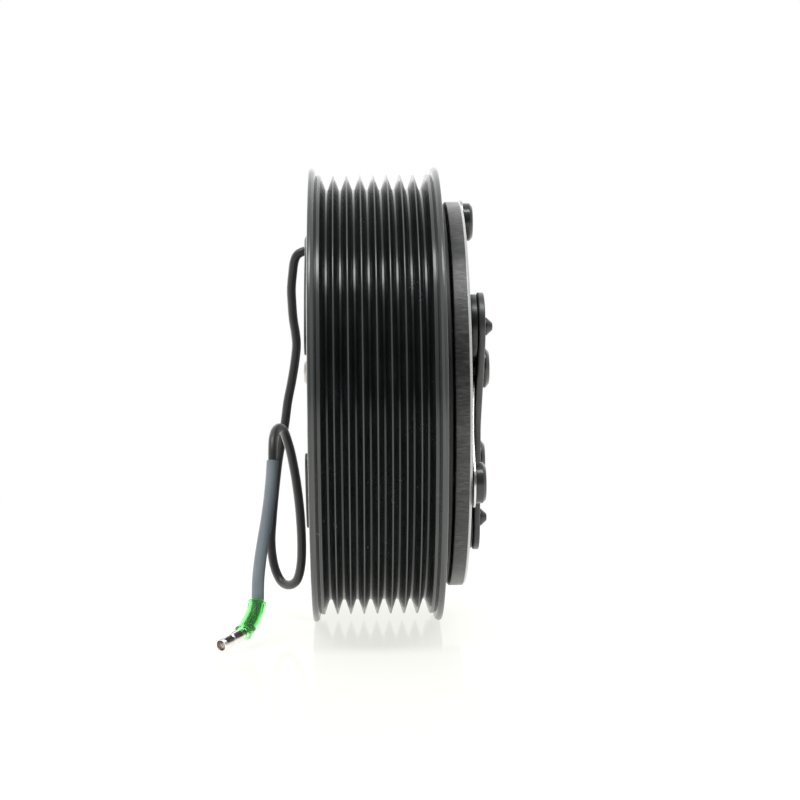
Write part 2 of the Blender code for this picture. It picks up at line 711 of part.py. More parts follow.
def make_hub(hub):
    """Splined hub: a boss in the compressor's nose and the flange that the springs hang on."""
    profile = [
        (HUB_NOSE_RADIUS, HUB_NOSE_FRONT),
        (HUB_NOSE_RADIUS, HUB_FLANGE_FRONT),
        (HUB_FLANGE_RADIUS, HUB_FLANGE_FRONT),
        (HUB_FLANGE_RADIUS, HUB_FLANGE_REAR),
        (HUB_BOSS_RADIUS, HUB_FLANGE_REAR),
        (HUB_BOSS_RADIUS, HUB_BOSS_REAR + HUB_BOSS_CHAMFER),
        (HUB_BOSS_RADIUS - HUB_BOSS_CHAMFER, HUB_BOSS_REAR),
        (HUB_BORE_RADIUS, HUB_BOSS_REAR),
        (HUB_BORE_RADIUS, HUB_NOSE_FRONT),
    ]
    part = turned("hub", profile, hub, DARK_STEEL)
    for spoke in range(SPOKES):
        centre = polar(INNER_RIVET_CIRCLE, LEAF_FIRST_INNER_ANGLE + 360 * spoke / SPOKES)
        cut_hole(part, centre, RIVET_HOLE_RADIUS, HUB_FLANGE_REAR - 1, HUB_FLANGE_FRONT + 1)


def hub_plate_outline():
    """Round the three lobes, with a hollow curve between them and straight lines that touch both."""
    outline = []
    for spoke in range(SPOKES):
        lobe = LOBE_FIRST_ANGLE + 360 * spoke / SPOKES
        centre = polar(LOBE_CIRCLE, lobe)
        hollow = polar(WAIST_RADIUS + WAIST_ROUNDING, lobe + 180 / SPOKES)
        span = hollow - centre
        turn_off = math.acos((LOBE_RADIUS + WAIST_ROUNDING) / span.length)
        reach = math.degrees(centre.angle(span) - turn_off)
        for turn in spaced(-reach, reach, 11):
            outline.append(centre + polar(LOBE_RADIUS, lobe + turn))
        for turn in spaced(reach, 360 / SPOKES - reach, 5):
            outline.append(hollow + polar(WAIST_ROUNDING, lobe + 180 + turn))
    return outline


def make_hub_plate(hub):
    loops = [hub_plate_outline(), circle((0, 0), HUB_NOSE_RADIUS + GAP, 24)]
    for spoke in range(SPOKES):
        turn = 360 * spoke / SPOKES
        rivet = polar(INNER_RIVET_CIRCLE, LEAF_FIRST_INNER_ANGLE + turn)
        bumper = polar(LOBE_CIRCLE, LOBE_FIRST_ANGLE + turn)
        loops.append(circle(rivet, RIVET_HOLE_RADIUS, 10))
        loops.append(circle(bumper, BUMPER_STEM_RADIUS + GAP, 8))
    mesh = outline_mesh("hub_plate", loops, HUB_PLATE_REAR, HUB_PLATE_FRONT)
    new_part("hub_plate", mesh, hub, PAINT_BLACK)


def rivet_head(radius, seat, height):
    """Profile of a rivet's head, down to where its shank begins."""
    front = seat + height
    return [
        (0, front),
        (radius - RIVET_HEAD_CHAMFER, front),
        (radius, front - RIVET_HEAD_CHAMFER),
        (radius, seat),
        (RIVET_SHANK_RADIUS, seat),
    ]


def make_hub_rivets(hub):
    seat = HUB_PLATE_FRONT + GAP
    tail_front = HUB_FLANGE_REAR - GAP
    profile = [
        *rivet_head(INNER_RIVET_HEAD_RADIUS, seat, INNER_RIVET_HEAD_HEIGHT),
        (RIVET_SHANK_RADIUS, tail_front),
        (RIVET_TAIL_RADIUS, tail_front),
        (RIVET_TAIL_RADIUS, tail_front - RIVET_TAIL_HEIGHT),
        (0, tail_front - RIVET_TAIL_HEIGHT),
    ]
    for spoke in range(SPOKES):
        place = polar(INNER_RIVET_CIRCLE, LEAF_FIRST_INNER_ANGLE + 360 * spoke / SPOKES)
        turned(f"hub_rivet_{spoke + 1}", profile, hub, DARK_STEEL, SMALL_STEPS, place)


def make_bumpers(hub):
    """Rubber stops in the plate's lobes. The armature rests on their pads."""
    pad_rear = ARMATURE_REAR + ARMATURE_THICKNESS + GAP
    profile = [
        (0, BUMPER_TIP),
        (BUMPER_DOME_RADIUS - 1.0, BUMPER_TIP - 0.4),
        (BUMPER_DOME_RADIUS, HUB_PLATE_FRONT + 0.8),
        (BUMPER_DOME_RADIUS, HUB_PLATE_FRONT + GAP),
        (BUMPER_STEM_RADIUS, HUB_PLATE_FRONT + GAP),
        (BUMPER_STEM_RADIUS, HUB_PLATE_REAR - GAP),
        (BUMPER_PAD_RADIUS, HUB_PLATE_REAR - GAP),
        (BUMPER_PAD_RADIUS - 0.3, pad_rear),
        (0, pad_rear),
    ]
    for spoke in range(SPOKES):
        place = polar(LOBE_CIRCLE, LOBE_FIRST_ANGLE + 360 * spoke / SPOKES)
        turned(f"stop_bumper_{spoke + 1}", profile, hub, RUBBER, SMALL_STEPS, place)


def make_shim(hub):
    """Washer behind the boss that sets the air gap."""
    front = HUB_BOSS_REAR - GAP
    profile = ring(*SHIM_RADII, front - SHIM_THICKNESS, front)
    turned("hub_shim", profile, hub, SPRING_STEEL, steps=20)


def make_armature(armature):
    rear = ARMATURE_REAR
    front = rear + ARMATURE_THICKNESS
    profile = [
        (ARMATURE_RADIUS - ARMATURE_CHAMFER, front),
        (ARMATURE_RADIUS, front - ARMATURE_CHAMFER),
        (ARMATURE_RADIUS, rear + 0.3),
        (ARMATURE_RADIUS - 0.3, rear),
        (ARMATURE_HOLE_RADIUS, rear),
        (ARMATURE_HOLE_RADIUS, front),
    ]
    plate = turned("armature_plate", profile, armature, DARK_STEEL)
    spoke_angle = 360 / SPOKES
    for spoke in range(SPOKES):
        rivet = LEAF_FIRST_OUTER_ANGLE + spoke_angle * spoke
        centre = polar(OUTER_RIVET_CIRCLE, rivet)
        cut_hole(plate, centre, RIVET_HOLE_RADIUS, rear - 1, front + 1)
        for third in (1, 2):
            middle = rivet + spoke_angle * third / 3
            angles = (middle - ARMATURE_SLOT_ANGLE / 2, middle + ARMATURE_SLOT_ANGLE / 2)
            cut_arc_slot(plate, ARMATURE_SLOT_RADIUS, ARMATURE_SLOT_WIDTH, angles, rear - 1, front + 1)


def make_armature_rivets(armature):
    """Their tails are flush with the armature's rear face, in the rivet holes."""
    seat = ARMATURE_REAR + ARMATURE_THICKNESS + 2 * GAP + LEAF_THICKNESS
    profile = [
        *rivet_head(OUTER_RIVET_HEAD_RADIUS, seat, OUTER_RIVET_HEAD_HEIGHT),
        (RIVET_SHANK_RADIUS, ARMATURE_REAR + 0.2),
        (0, ARMATURE_REAR + 0.2),
    ]
    for spoke in range(SPOKES):
        place = polar(OUTER_RIVET_CIRCLE, LEAF_FIRST_OUTER_ANGLE + 360 * spoke / SPOKES)
        turned(f"armature_rivet_{spoke + 1}", profile, armature, DARK_STEEL, SMALL_STEPS, place)


def leaf_outline(inner, outer):
    """A strip with a round end about each rivet, and its direction."""
    along = (outer - inner).normalized()
    outline = []
    for centre, facing in ((outer, along), (inner, -along)):
        side = Vector((-facing.y, facing.x))
        for turn in spaced(-90, 90, 9):
            a = math.radians(turn)
            outline.append(centre + (facing * math.cos(a) + side * math.sin(a)) * LEAF_HALF_WIDTH)
    return outline, along


def make_leaf_spring(armature, number, turn):
    """Flat spring from a hub rivet to an armature rivet, with a small step between its ends."""
    inner = polar(INNER_RIVET_CIRCLE, LEAF_FIRST_INNER_ANGLE + turn)
    outer = polar(OUTER_RIVET_CIRCLE, LEAF_FIRST_OUTER_ANGLE + turn)
    outline, along = leaf_outline(inner, outer)
    length = (outer - inner).length
    low = ARMATURE_REAR + ARMATURE_THICKNESS + GAP
    loops = [outline, circle(inner, RIVET_HOLE_RADIUS, 10), circle(outer, RIVET_HOLE_RADIUS, 10)]
    mesh = outline_mesh(f"leaf_spring_{number}", loops, low, low + LEAF_THICKNESS)
    first = LEAF_HALF_WIDTH
    last = length - LEAF_HALF_WIDTH
    work = bmesh.new()
    work.from_mesh(mesh)
    for station in spaced(first, last, 7):
        everything = [*work.verts, *work.edges, *work.faces]
        place = ((inner + along * station) * MM).to_3d()
        bmesh.ops.bisect_plane(work, geom=everything, plane_co=place, plane_no=along.to_3d())
    for vert in work.verts:
        gone = (vert.co.to_2d() / MM - inner).dot(along)
        share = min(max((last - gone) / (last - first), 0), 1)
        vert.co.z += LEAF_RISE * MM * share * share * (3 - 2 * share)
    bmesh.ops.triangulate(work, faces=work.faces)
    work.to_mesh(mesh)
    work.free()
    new_part(f"leaf_spring_{number}", mesh, armature, SPRING_STEEL)


def settle(part):
    """Applies the modifiers, and shades round faces smooth."""
    graph = bpy.context.evaluated_depsgraph_get()
    mesh = bpy.data.meshes.new_from_object(part.evaluated_get(graph))
    part.modifiers.clear()
    part.data = mesh
    mesh.shade_smooth()
    mesh.set_sharp_from_angle(angle=math.radians(35))


def make_clutch():
    stator = new_axis("stator_axis")
    pulley = new_axis("pulley_axis")
    cage = new_axis("cage_axis")
    hub = new_axis("hub_axis")
    armature = new_axis("armature_axis", hub)
    make_rim(pulley)
    make_rotor(pulley)
    make_races(stator, pulley)
    make_seals(pulley)
    make_retaining_ring(pulley)
    make_cage(cage)
    make_balls(cage)
    make_coil_housing(stator)
    make_winding(stator)
    make_mounting_plate(stator)
    make_plate_rivets(stator)
    make_plate_trim(stator)
    make_grommet(stator)
    make_lead()
    make_bullet()
    make_hub(hub)
    make_hub_plate(hub)
    make_hub_rivets(hub)
    make_bumpers(hub)
    make_shim(hub)
    make_armature(armature)
    make_armature_rivets(armature)
    for spoke in range(SPOKES):
        make_leaf_spring(armature, spoke + 1, 360 * spoke / SPOKES)
    bpy.context.view_layer.update()
    for part in PARTS.objects:
        if part.type == "MESH":
            settle(part)


clear_scene()
PARTS = new_collection("electromagnetic_clutch")
CUTTERS = new_collection("cutters")
make_clutch()
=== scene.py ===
"""Looks of the electromagnetic clutch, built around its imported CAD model.

Lengths in the constants are millimetres and MM turns them into metres. The shaft runs along X from
the compressor to the armature, +Z is up, and an angle about the shaft counts from +Y towards +Z.
"""

import math

import bmesh
import bpy
from mathutils import Matrix, Vector


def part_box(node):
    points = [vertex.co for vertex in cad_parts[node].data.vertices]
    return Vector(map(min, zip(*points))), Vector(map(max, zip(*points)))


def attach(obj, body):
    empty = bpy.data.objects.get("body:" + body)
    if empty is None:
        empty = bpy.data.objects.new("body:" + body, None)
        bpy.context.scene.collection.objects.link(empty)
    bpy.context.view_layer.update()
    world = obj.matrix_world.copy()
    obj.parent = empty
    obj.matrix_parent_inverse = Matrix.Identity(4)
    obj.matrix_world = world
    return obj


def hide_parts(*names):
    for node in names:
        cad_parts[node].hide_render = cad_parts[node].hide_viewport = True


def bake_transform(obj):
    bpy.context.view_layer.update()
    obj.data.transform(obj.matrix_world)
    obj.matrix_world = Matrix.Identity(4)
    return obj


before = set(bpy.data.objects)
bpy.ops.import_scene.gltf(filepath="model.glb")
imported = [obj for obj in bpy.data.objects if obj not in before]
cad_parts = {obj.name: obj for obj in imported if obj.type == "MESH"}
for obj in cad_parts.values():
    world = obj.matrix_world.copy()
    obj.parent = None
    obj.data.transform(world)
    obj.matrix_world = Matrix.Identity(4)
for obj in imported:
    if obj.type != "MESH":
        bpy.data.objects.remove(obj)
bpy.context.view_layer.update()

MM = 0.001
SPOKES = 3
FINE_STEPS = 224
MIDDLE_STEPS = 128
SMALL_STEPS = 40


def node_span(node):
    """Rear and front of a CAD node along the shaft, in millimetres."""
    low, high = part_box(node)
    return low.x / MM, high.x / MM


def node_radius(node):
    low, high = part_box(node)
    return (high.y - low.y) / 2 / MM


# ---- camera

CAMERA_PLACE = (10.94, -518.05, 36.23)
CAMERA_YAW = 1.4836
CAMERA_PITCH = -4.1774
CAMERA_ROLL = -0.5055
CAMERA_LENS = 85.62
SENSOR = 36.0


def make_camera():
    data = bpy.data.cameras.new("camera")
    data.lens = CAMERA_LENS
    data.sensor_width = SENSOR
    camera = bpy.data.objects.new("camera", data)
    bpy.context.scene.collection.objects.link(camera)
    aim = Matrix.Rotation(math.radians(-CAMERA_YAW), 4, "Z")
    aim @= Matrix.Rotation(math.radians(90 + CAMERA_PITCH), 4, "X")
    aim @= Matrix.Rotation(math.radians(CAMERA_ROLL), 4, "Z")
    camera.matrix_world = Matrix.Translation(Vector(CAMERA_PLACE) * MM) @ aim
    bpy.context.scene.camera = camera


# ---- node helpers


def new_node(tree, kind, inputs=(), **settings):
    node = tree.nodes.new(kind)
    for name, value in settings.items():
        setattr(node, name, value)
    for name, value in dict(inputs).items():
        if isinstance(value, bpy.types.NodeSocket):
            tree.links.new(value, node.inputs[name])
        else:
            node.inputs[name].default_value = value
    return node


def maths(tree, operation, first, second=0.0):
    return new_node(tree, "ShaderNodeMath", {0: first, 1: second}, operation=operation).outputs[0]


def combine(tree, x, y, z):
    return new_node(tree, "ShaderNodeCombineXYZ", {"X": x, "Y": y, "Z": z}).outputs[0]


def noise(tree, vector, scale, detail=3.0, roughness=0.55):
    inputs = {"Vector": vector, "Scale": scale, "Detail": detail, "Roughness": roughness}
    return new_node(tree, "ShaderNodeTexNoise", inputs).outputs["Fac"]


def ramp(tree, value, low, high, low_out=0.0, high_out=1.0):
    inputs = {"Value": value, "From Min": low, "From Max": high, "To Min": low_out, "To Max": high_out}
    return new_node(tree, "ShaderNodeMapRange", inputs).outputs["Result"]


def mix_colour(tree, factor, first, second):
    node = tree.nodes.new("ShaderNodeMix")
    node.data_type = "RGBA"
    for socket, value in ((0, factor), (6, first), (7, second)):
        if isinstance(value, bpy.types.NodeSocket):
            tree.links.new(value, node.inputs[socket])
        else:
            node.inputs[socket].default_value = value
    return node.outputs[2]


def bump(tree, height, strength, distance, below=None):
    inputs = {"Height": height, "Strength": strength, "Distance": distance}
    if below is not None:
        inputs["Normal"] = below
    return new_node(tree, "ShaderNodeBump", inputs).outputs["Normal"]


def object_point(tree):
    return new_node(tree, "ShaderNodeTexCoord").outputs["Object"]


def turned_point(tree):
    """Place along the shaft and radius, in millimetres, and the cosine and sine of the angle."""
    split = new_node(tree, "ShaderNodeSeparateXYZ", {"Vector": object_point(tree)})
    along, y, z = (maths(tree, "MULTIPLY", split.outputs[axis], 1 / MM) for axis in "XYZ")
    squares = maths(tree, "ADD", maths(tree, "MULTIPLY", y, y), maths(tree, "MULTIPLY", z, z))
    radius = maths(tree, "SQRT", squares)
    safe = maths(tree, "MAXIMUM", radius, 0.001)
    return along, radius, maths(tree, "DIVIDE", y, safe), maths(tree, "DIVIDE", z, safe)


def ringed_point(tree, along_scale, radius_scale, turn_scale):
    """A place for a noise that runs round the shaft in rings, or across an edge in short marks."""
    along, radius, cosine, sine = turned_point(tree)
    step = maths(
        tree,
        "ADD",
        maths(tree, "MULTIPLY", along, along_scale),
        maths(tree, "MULTIPLY", radius, radius_scale),
    )
    across = maths(tree, "MULTIPLY", cosine, turn_scale)
    return combine(tree, step, across, maths(tree, "MULTIPLY", sine, turn_scale))


def new_material(name, colour, roughness, metallic, **constants):
    material = bpy.data.materials.new(name)
    material.use_nodes = True
    tree = material.node_tree
    shader = tree.nodes["Principled BSDF"]
    shader.inputs["Base Color"].default_value = (*colour, 1)
    shader.inputs["Roughness"].default_value = roughness
    shader.inputs["Metallic"].default_value = metallic
    for name_, value in constants.items():
        shader.inputs[name_.replace("_", " ").title().replace("Ior", "IOR")].default_value = value
    return material, tree, shader


def feed(tree, shader, **sockets):
    for name, socket in sockets.items():
        tree.links.new(socket, shader.inputs[name.replace("_", " ").title()])


# ---- materials


def turned_metal(name, colour, worn, roughness, metallic, lines=0.5, line_pitch=6.0):
    """Metal or enamel on a turned piece: fine lines round the shaft, a blotchy finish and a
    slightly uneven gloss."""
    material, tree, shader = new_material(name, colour, roughness, metallic)
    fine_lines = noise(tree, ringed_point(tree, line_pitch, line_pitch * 0.77, 2.0), 1.0, 4.0, 0.65)
    blotches = noise(tree, object_point(tree), 160.0, 5.0, 0.6)
    grain = noise(tree, object_point(tree), 2600.0, 2.0, 0.5)
    shade = maths(tree, "MULTIPLY", maths(tree, "ADD", fine_lines, blotches), 0.5)
    colour_out = mix_colour(tree, ramp(tree, shade, 0.35, 0.68, 0.0, 0.25), (*colour, 1), (*worn, 1))
    gloss = ramp(tree, blotches, 0.3, 0.7, roughness * 0.85, roughness * 1.2)
    normal = bump(tree, fine_lines, lines, 0.00006)
    normal = bump(tree, grain, 0.25, 0.00002, normal)
    feed(tree, shader, base_color=colour_out, roughness=gloss, normal=normal)
    return material


def sheared_metal():
    """The armature: turned faces, an edge with fine shear marks across its thickness, and a painted
    highlight round its front chamfer.
    """
    dark, bright = (0.022, 0.024, 0.0235), (0.1, 0.102, 0.098)
    material, tree, shader = new_material("armature_steel", dark, 0.34, 0.3)
    along, radius, _, _ = turned_point(tree)
    marks = noise(tree, ringed_point(tree, 0.35, 0.0, 95.0), 1.0, 5.0, 0.7)
    lines = noise(tree, ringed_point(tree, 0.0, 5.0, 2.0), 1.0, 4.0, 0.6)
    front = node_span("armature_plate")[1]
    outer = node_radius("armature_plate")
    edge = ramp(tree, radius, outer - 0.8, outer - 0.5)
    # Painted highlight: the ring at the front outer chamfer is coloured light grey in place of its bright
    # reflection.
    chamfer_highlight = maths(tree, "MULTIPLY", edge, ramp(tree, along, front - 0.75, front - 0.6))
    blotches = noise(tree, object_point(tree), 150.0, 5.0, 0.65)
    relief = new_node(tree, "ShaderNodeMix", {0: edge, 2: lines, 3: marks}).outputs[0]
    patches = ramp(tree, blotches, 0.35, 0.65, 0.25, 1.0)
    shade = maths(tree, "MULTIPLY", ramp(tree, relief, 0.38, 0.68), patches)
    colour_out = mix_colour(tree, shade, (*dark, 1), (*bright, 1))
    # The painted highlight's light grey goes onto the chamfer ring here.
    colour_out = mix_colour(tree, chamfer_highlight, colour_out, (0.42, 0.43, 0.42, 1))
    gloss = ramp(tree, blotches, 0.3, 0.7, 0.28, 0.42)
    feed(tree, shader, base_color=colour_out, roughness=gloss, normal=bump(tree, relief, 0.75, 0.00008))
    return material


def enamel_material():
    """Black enamel of the pulley, lighter on the belt ribs' crests and the flanges' lips."""
    colour, greyer = (0.0075, 0.009, 0.0092), (0.013, 0.0155, 0.016)
    material, tree, shader = new_material("black_enamel", colour, 0.3, 0.0, ior=1.5)
    along, radius, _, _ = turned_point(tree)
    fine_lines = noise(tree, ringed_point(tree, 7.0, 5.0, 1.6), 1.0, 4.0, 0.6)
    blotches = noise(tree, object_point(tree), 120.0, 5.0, 0.6)
    rear, front = node_span("pulley_rim")
    off_middle = maths(tree, "ABSOLUTE", maths(tree, "SUBTRACT", along, (rear + front) / 2))
    flange = ramp(tree, off_middle, 14.6, 14.7)
    crest = ramp(tree, radius, RIB_RADIUS - 0.5, RIB_RADIUS)
    # The ribs' crests and the flanges' lips are mixed towards a lighter grey, streaked by the fine lines.
    crest_lightening = maths(tree, "MULTIPLY", crest, ramp(tree, fine_lines, 0.3, 0.7, 0.35, 1.0))
    tinted = mix_colour(tree, ramp(tree, blotches, 0.35, 0.65), (*colour, 1), (*greyer, 1))
    crest_grey = mix_colour(tree, flange, (0.058, 0.061, 0.059, 1), (0.07, 0.075, 0.074, 1))
    colour_out = mix_colour(tree, crest_lightening, tinted, crest_grey)
    gloss = ramp(tree, blotches, 0.3, 0.7, 0.2, 0.28)
    feed(tree, shader, base_color=colour_out, roughness=gloss, normal=bump(tree, blotches, 0.25, 0.00004))
    return material


def brushed_steel(name, colour, roughness, direction):
    """Rolled strip or ground steel, with scratches along a direction in the frame."""
    material, tree, shader = new_material(name, colour, roughness, 1.0)
    rotation = Vector(direction).normalized().to_track_quat("X", "Z").to_euler()
    mapping = {
        "Vector": object_point(tree),
        "Rotation": [-angle for angle in rotation],
        "Scale": (120.0, 2600.0, 2600.0),
    }
    turned = new_node(tree, "ShaderNodeMapping", mapping, vector_type="POINT")
    scratches = noise(tree, turned.outputs[0], 1.0, 4.0, 0.65)
    blotches = noise(tree, object_point(tree), 70.0, 3.0, 0.5)
    darker = tuple(c * 0.78 for c in colour)
    colour_out = mix_colour(tree, ramp(tree, blotches, 0.35, 0.75), (*colour, 1), (*darker, 1))
    gloss = ramp(tree, scratches, 0.3, 0.7, roughness * 0.75, roughness * 1.35)
    normal = bump(tree, scratches, 0.3, 0.00003)
    feed(tree, shader, base_color=colour_out, roughness=gloss, normal=normal)
    return material


def moulded(name, colour, lighter, roughness, grain_scale=1800.0, **constants):
    """Rubber, plastic or resin, with a fine moulded grain and slightly uneven colour."""
    material, tree, shader = new_material(name, colour, roughness, 0.0, **constants)
    grain = noise(tree, object_point(tree), grain_scale, 3.0, 0.6)
    blotches = noise(tree, object_point(tree), 90.0, 5.0, 0.6)
    colour_out = mix_colour(tree, ramp(tree, blotches, 0.35, 0.7), (*colour, 1), (*lighter, 1))
    gloss = ramp(tree, blotches, 0.3, 0.7, roughness * 0.85, roughness * 1.15)
    normal = bump(tree, grain, 0.3, 0.00003)
    feed(tree, shader, base_color=colour_out, roughness=gloss, normal=normal)
    return material


def copper_material():
    """Enamelled wire laid side by side round the bobbin."""
    material, tree, shader = new_material("copper_wire", (0.5, 0.2, 0.09), 0.3, 0.9)
    along, radius, _, _ = turned_point(tree)
    turns = maths(tree, "SINE", maths(tree, "MULTIPLY", along, 2 * math.pi / 0.6))
    layers = maths(tree, "SINE", maths(tree, "MULTIPLY", radius, 2 * math.pi / 0.6))
    ridges = maths(tree, "MULTIPLY", turns, layers)
    shade = ramp(tree, ridges, -1.0, 1.0)
    colour_out = mix_colour(tree, shade, (0.28, 0.09, 0.035, 1), (0.6, 0.26, 0.12, 1))
    feed(tree, shader, base_color=colour_out, normal=bump(tree, ridges, 0.6, 0.0001))
    return material


MATERIALS = {}


def make_materials():
    MATERIALS["enamel"] = enamel_material()
    # The rotor's main colour is near-black as painted shade: its edge shows only in the shadowed gap between
    # the rim's front flange and the armature.
    rotor_shaded, rotor_worn = (0.006, 0.0065, 0.0065), (0.022, 0.022, 0.021)
    MATERIALS["rotor"] = turned_metal("rotor_steel_shaded", rotor_shaded, rotor_worn, 0.5, 0.3)
    MATERIALS["armature"] = sheared_metal()
    MATERIALS["coil_steel"] = turned_metal("coil_steel", (0.035, 0.037, 0.036), (0.1, 0.1, 0.095), 0.45, 0.4)
    MATERIALS["race"] = turned_metal("bearing_steel", (0.5, 0.5, 0.49), (0.3, 0.3, 0.3), 0.22, 1.0, 0.3, 9.0)
    MATERIALS["plate_enamel"] = moulded("hub_enamel", (0.028, 0.031, 0.031), (0.05, 0.054, 0.053), 0.34)
    MATERIALS["rivet"] = moulded("rivet_steel", (0.012, 0.014, 0.014), (0.03, 0.033, 0.033), 0.26)
    MATERIALS["zinc"] = brushed_steel("zinc_steel", (0.5, 0.49, 0.46), 0.32, (0, 1, 1))
    MATERIALS["spring"] = brushed_steel("spring_steel", (0.56, 0.56, 0.54), 0.26, (0, 1, 0))
    MATERIALS["ring"] = brushed_steel("ring_steel", (0.32, 0.32, 0.32), 0.3, (0, 1, 1))
    MATERIALS["rubber"] = moulded("black_rubber", (0.005, 0.0055, 0.0055), (0.01, 0.011, 0.011), 0.32)
    MATERIALS["resin"] = moulded("black_resin", (0.016, 0.017, 0.018), (0.03, 0.032, 0.033), 0.4)
    MATERIALS["nylon"] = moulded("cage_nylon", (0.42, 0.36, 0.25), (0.3, 0.26, 0.18), 0.45)
    MATERIALS["wire"] = moulded(
        "wire_pvc", (0.009, 0.01, 0.0095), (0.016, 0.018, 0.017), 0.4, sheen_weight=0.9, sheen_roughness=0.45
    )
    MATERIALS["sleeve"] = moulded("sleeve_pvc", (0.17, 0.21, 0.233), (0.22, 0.26, 0.283), 0.4)
    MATERIALS["green"] = moulded(
        "green_pvc", (0.3, 0.88, 0.33), (0.45, 0.95, 0.45), 0.12, 600.0, transmission_weight=0.9, ior=1.16
    )
    MATERIALS["tin"] = brushed_steel("tinned_brass", (0.82, 0.79, 0.75), 0.2, (-1, -1.5, -0.2))
    MATERIALS["copper"] = copper_material()


# ---- mesh helpers


def polar(radius, angle):
    """Y and Z, in millimetres, of a point at this radius and angle about the shaft."""
    turn = math.radians(angle)
    return Vector((radius * math.cos(turn), radius * math.sin(turn)))


def spaced(first, last, count):
    return [first + (last - first) * i / (count - 1) for i in range(count)]


def rounded(corners, closed=True, arc_points=4):
    """A profile with its corners rounded. A corner is (radius, place along) or, to round it,
    (radius, place along, rounding)."""
    profile = []
    count = len(corners)
    for i, corner in enumerate(corners):
        here = Vector(corner[:2])
        size = corner[2] if len(corner) > 2 else 0
        if not size or (not closed and i in (0, count - 1)):
            profile.append(here)
            continue
        before = (Vector(corners[i - 1][:2]) - here).normalized()
        after = (Vector(corners[(i + 1) % count][:2]) - here).normalized()
        half = before.angle(after) / 2
        reach = size / math.tan(half)
        centre = here + (before + after).normalized() * (size / math.sin(half))
        start = here + before * reach - centre
        end = here + after * reach - centre
        for step in range(arc_points + 1):
            spoke = start.slerp(end, step / arc_points) * size
            profile.append(centre + spoke)
    return profile


def finish_mesh(mesh, sharp=32):
    mesh.shade_smooth()
    mesh.set_sharp_from_angle(angle=math.radians(sharp))
    mesh.update()


def new_piece(name, mesh):
    piece = bpy.data.objects.new(name, mesh)
    bpy.context.scene.collection.objects.link(piece)
    return piece


def mesh_piece(name, work, sharp=32):
    """Makes the piece from a bmesh, which is used up."""
    bmesh.ops.recalc_face_normals(work, faces=work.faces)
    mesh = bpy.data.meshes.new(name)
    work.to_mesh(mesh)
    work.free()
    finish_mesh(mesh, sharp)
    return new_piece(name, mesh)


def lathe(name, profile, steps=MIDDLE_STEPS, centre=(0, 0), sharp=32):
    """Turns a profile of (radius, place along) points about the shaft's direction, through a
    centre (Y, Z). A profile that starts and ends at radius 0 makes a solid piece."""
    solid = profile[0][0] < 1e-6
    work = bmesh.new()
    rings = []
    for step in range(steps):
        turn = 2 * math.pi * step / steps
        cosine, sine = math.cos(turn), math.sin(turn)
        ring = []
        for index, (radius, along) in enumerate(profile):
            if radius < 1e-6 and rings:
                ring.append(rings[0][index])
                continue
            place = (along, centre[0] + radius * cosine, centre[1] + radius * sine)
            ring.append(work.verts.new(Vector(place) * MM))
        rings.append(ring)
    count = len(profile)
    spans = range(count - 1) if solid else range(count)
    for step in range(steps):
        here, there = rings[step], rings[(step + 1) % steps]
        for i in spans:
            j = (i + 1) % count
            corners = list(dict.fromkeys((here[i], here[j], there[j], there[i])))
            if len(corners) > 2:
                work.faces.new(corners)
    return mesh_piece(name, work, sharp)


def inset_loop(outline, distance):
    """The outline of (Y, Z) points, moved inward. The outline runs anticlockwise."""
    moved = []
    count = len(outline)
    for i, here in enumerate(outline):
        before = (here - outline[i - 1]).normalized()
        after = (outline[(i + 1) % count] - here).normalized()
        inward = Vector((-(before + after).y, (before + after).x)).normalized()
        lean = max(0.4, inward.dot(Vector((-before.y, before.x))))
        moved.append(here + inward * distance / lean)
    return moved


def slab(name, outline, rear, front, rounding, stations=None, lift=None, arc_points=3):
    """A flat piece with rounded edges. With stations, points and directions to slice it across at,
    it is then lifted along the shaft by lift(Y, Z)."""
    turns = [math.pi / 2 * step / arc_points for step in range(arc_points + 1)]
    edge = [(rounding * (1 - math.sin(turn)), rounding * (1 - math.cos(turn))) for turn in turns]
    loops = [(rear + gone, inset) for gone, inset in reversed(edge)]
    loops += [(front - gone, inset) for gone, inset in edge]
    work = bmesh.new()
    rings = []
    for along, inset in loops:
        places = inset_loop(outline, inset) if inset > 1e-9 else outline
        rings.append([work.verts.new(Vector((along, p.x, p.y)) * MM) for p in places])
    for low, high in zip(rings, rings[1:]):
        for i in range(len(low)):
            j = (i + 1) % len(low)
            work.faces.new((low[i], low[j], high[j], high[i]))
    work.faces.new(rings[0])
    work.faces.new(list(reversed(rings[-1])))
    for place, direction in stations or ():
        bmesh.ops.bisect_plane(
            work,
            geom=[*work.verts, *work.edges, *work.faces],
            plane_co=Vector((0, place.x, place.y)) * MM,
            plane_no=(0, direction.x, direction.y),
        )
    if lift:
        for vert in work.verts:
            vert.co.x += lift(vert.co.y / MM, vert.co.z / MM) * MM
    return mesh_piece(name, work)


def arc_band(inner, outer, first, last, count=24, end_points=8):
    """Anticlockwise outline of a band between two radii, with round ends."""
    middle, half = (inner + outer) / 2, (outer - inner) / 2
    band = [polar(outer, angle) for angle in spaced(first, last, count)]
    for turn in spaced(0, 180, end_points)[1:-1]:
        band.append(polar(middle, last) + polar(half, last + turn))
    band += [polar(inner, angle) for angle in spaced(last, first, count)]
    for turn in spaced(180, 360, end_points)[1:-1]:
        band.append(polar(middle, first) + polar(half, first + turn))
    return band


def circle(centre, radius, sides=40):
    return [Vector(centre) + polar(radius, 360 * i / sides) for i in range(sides)]


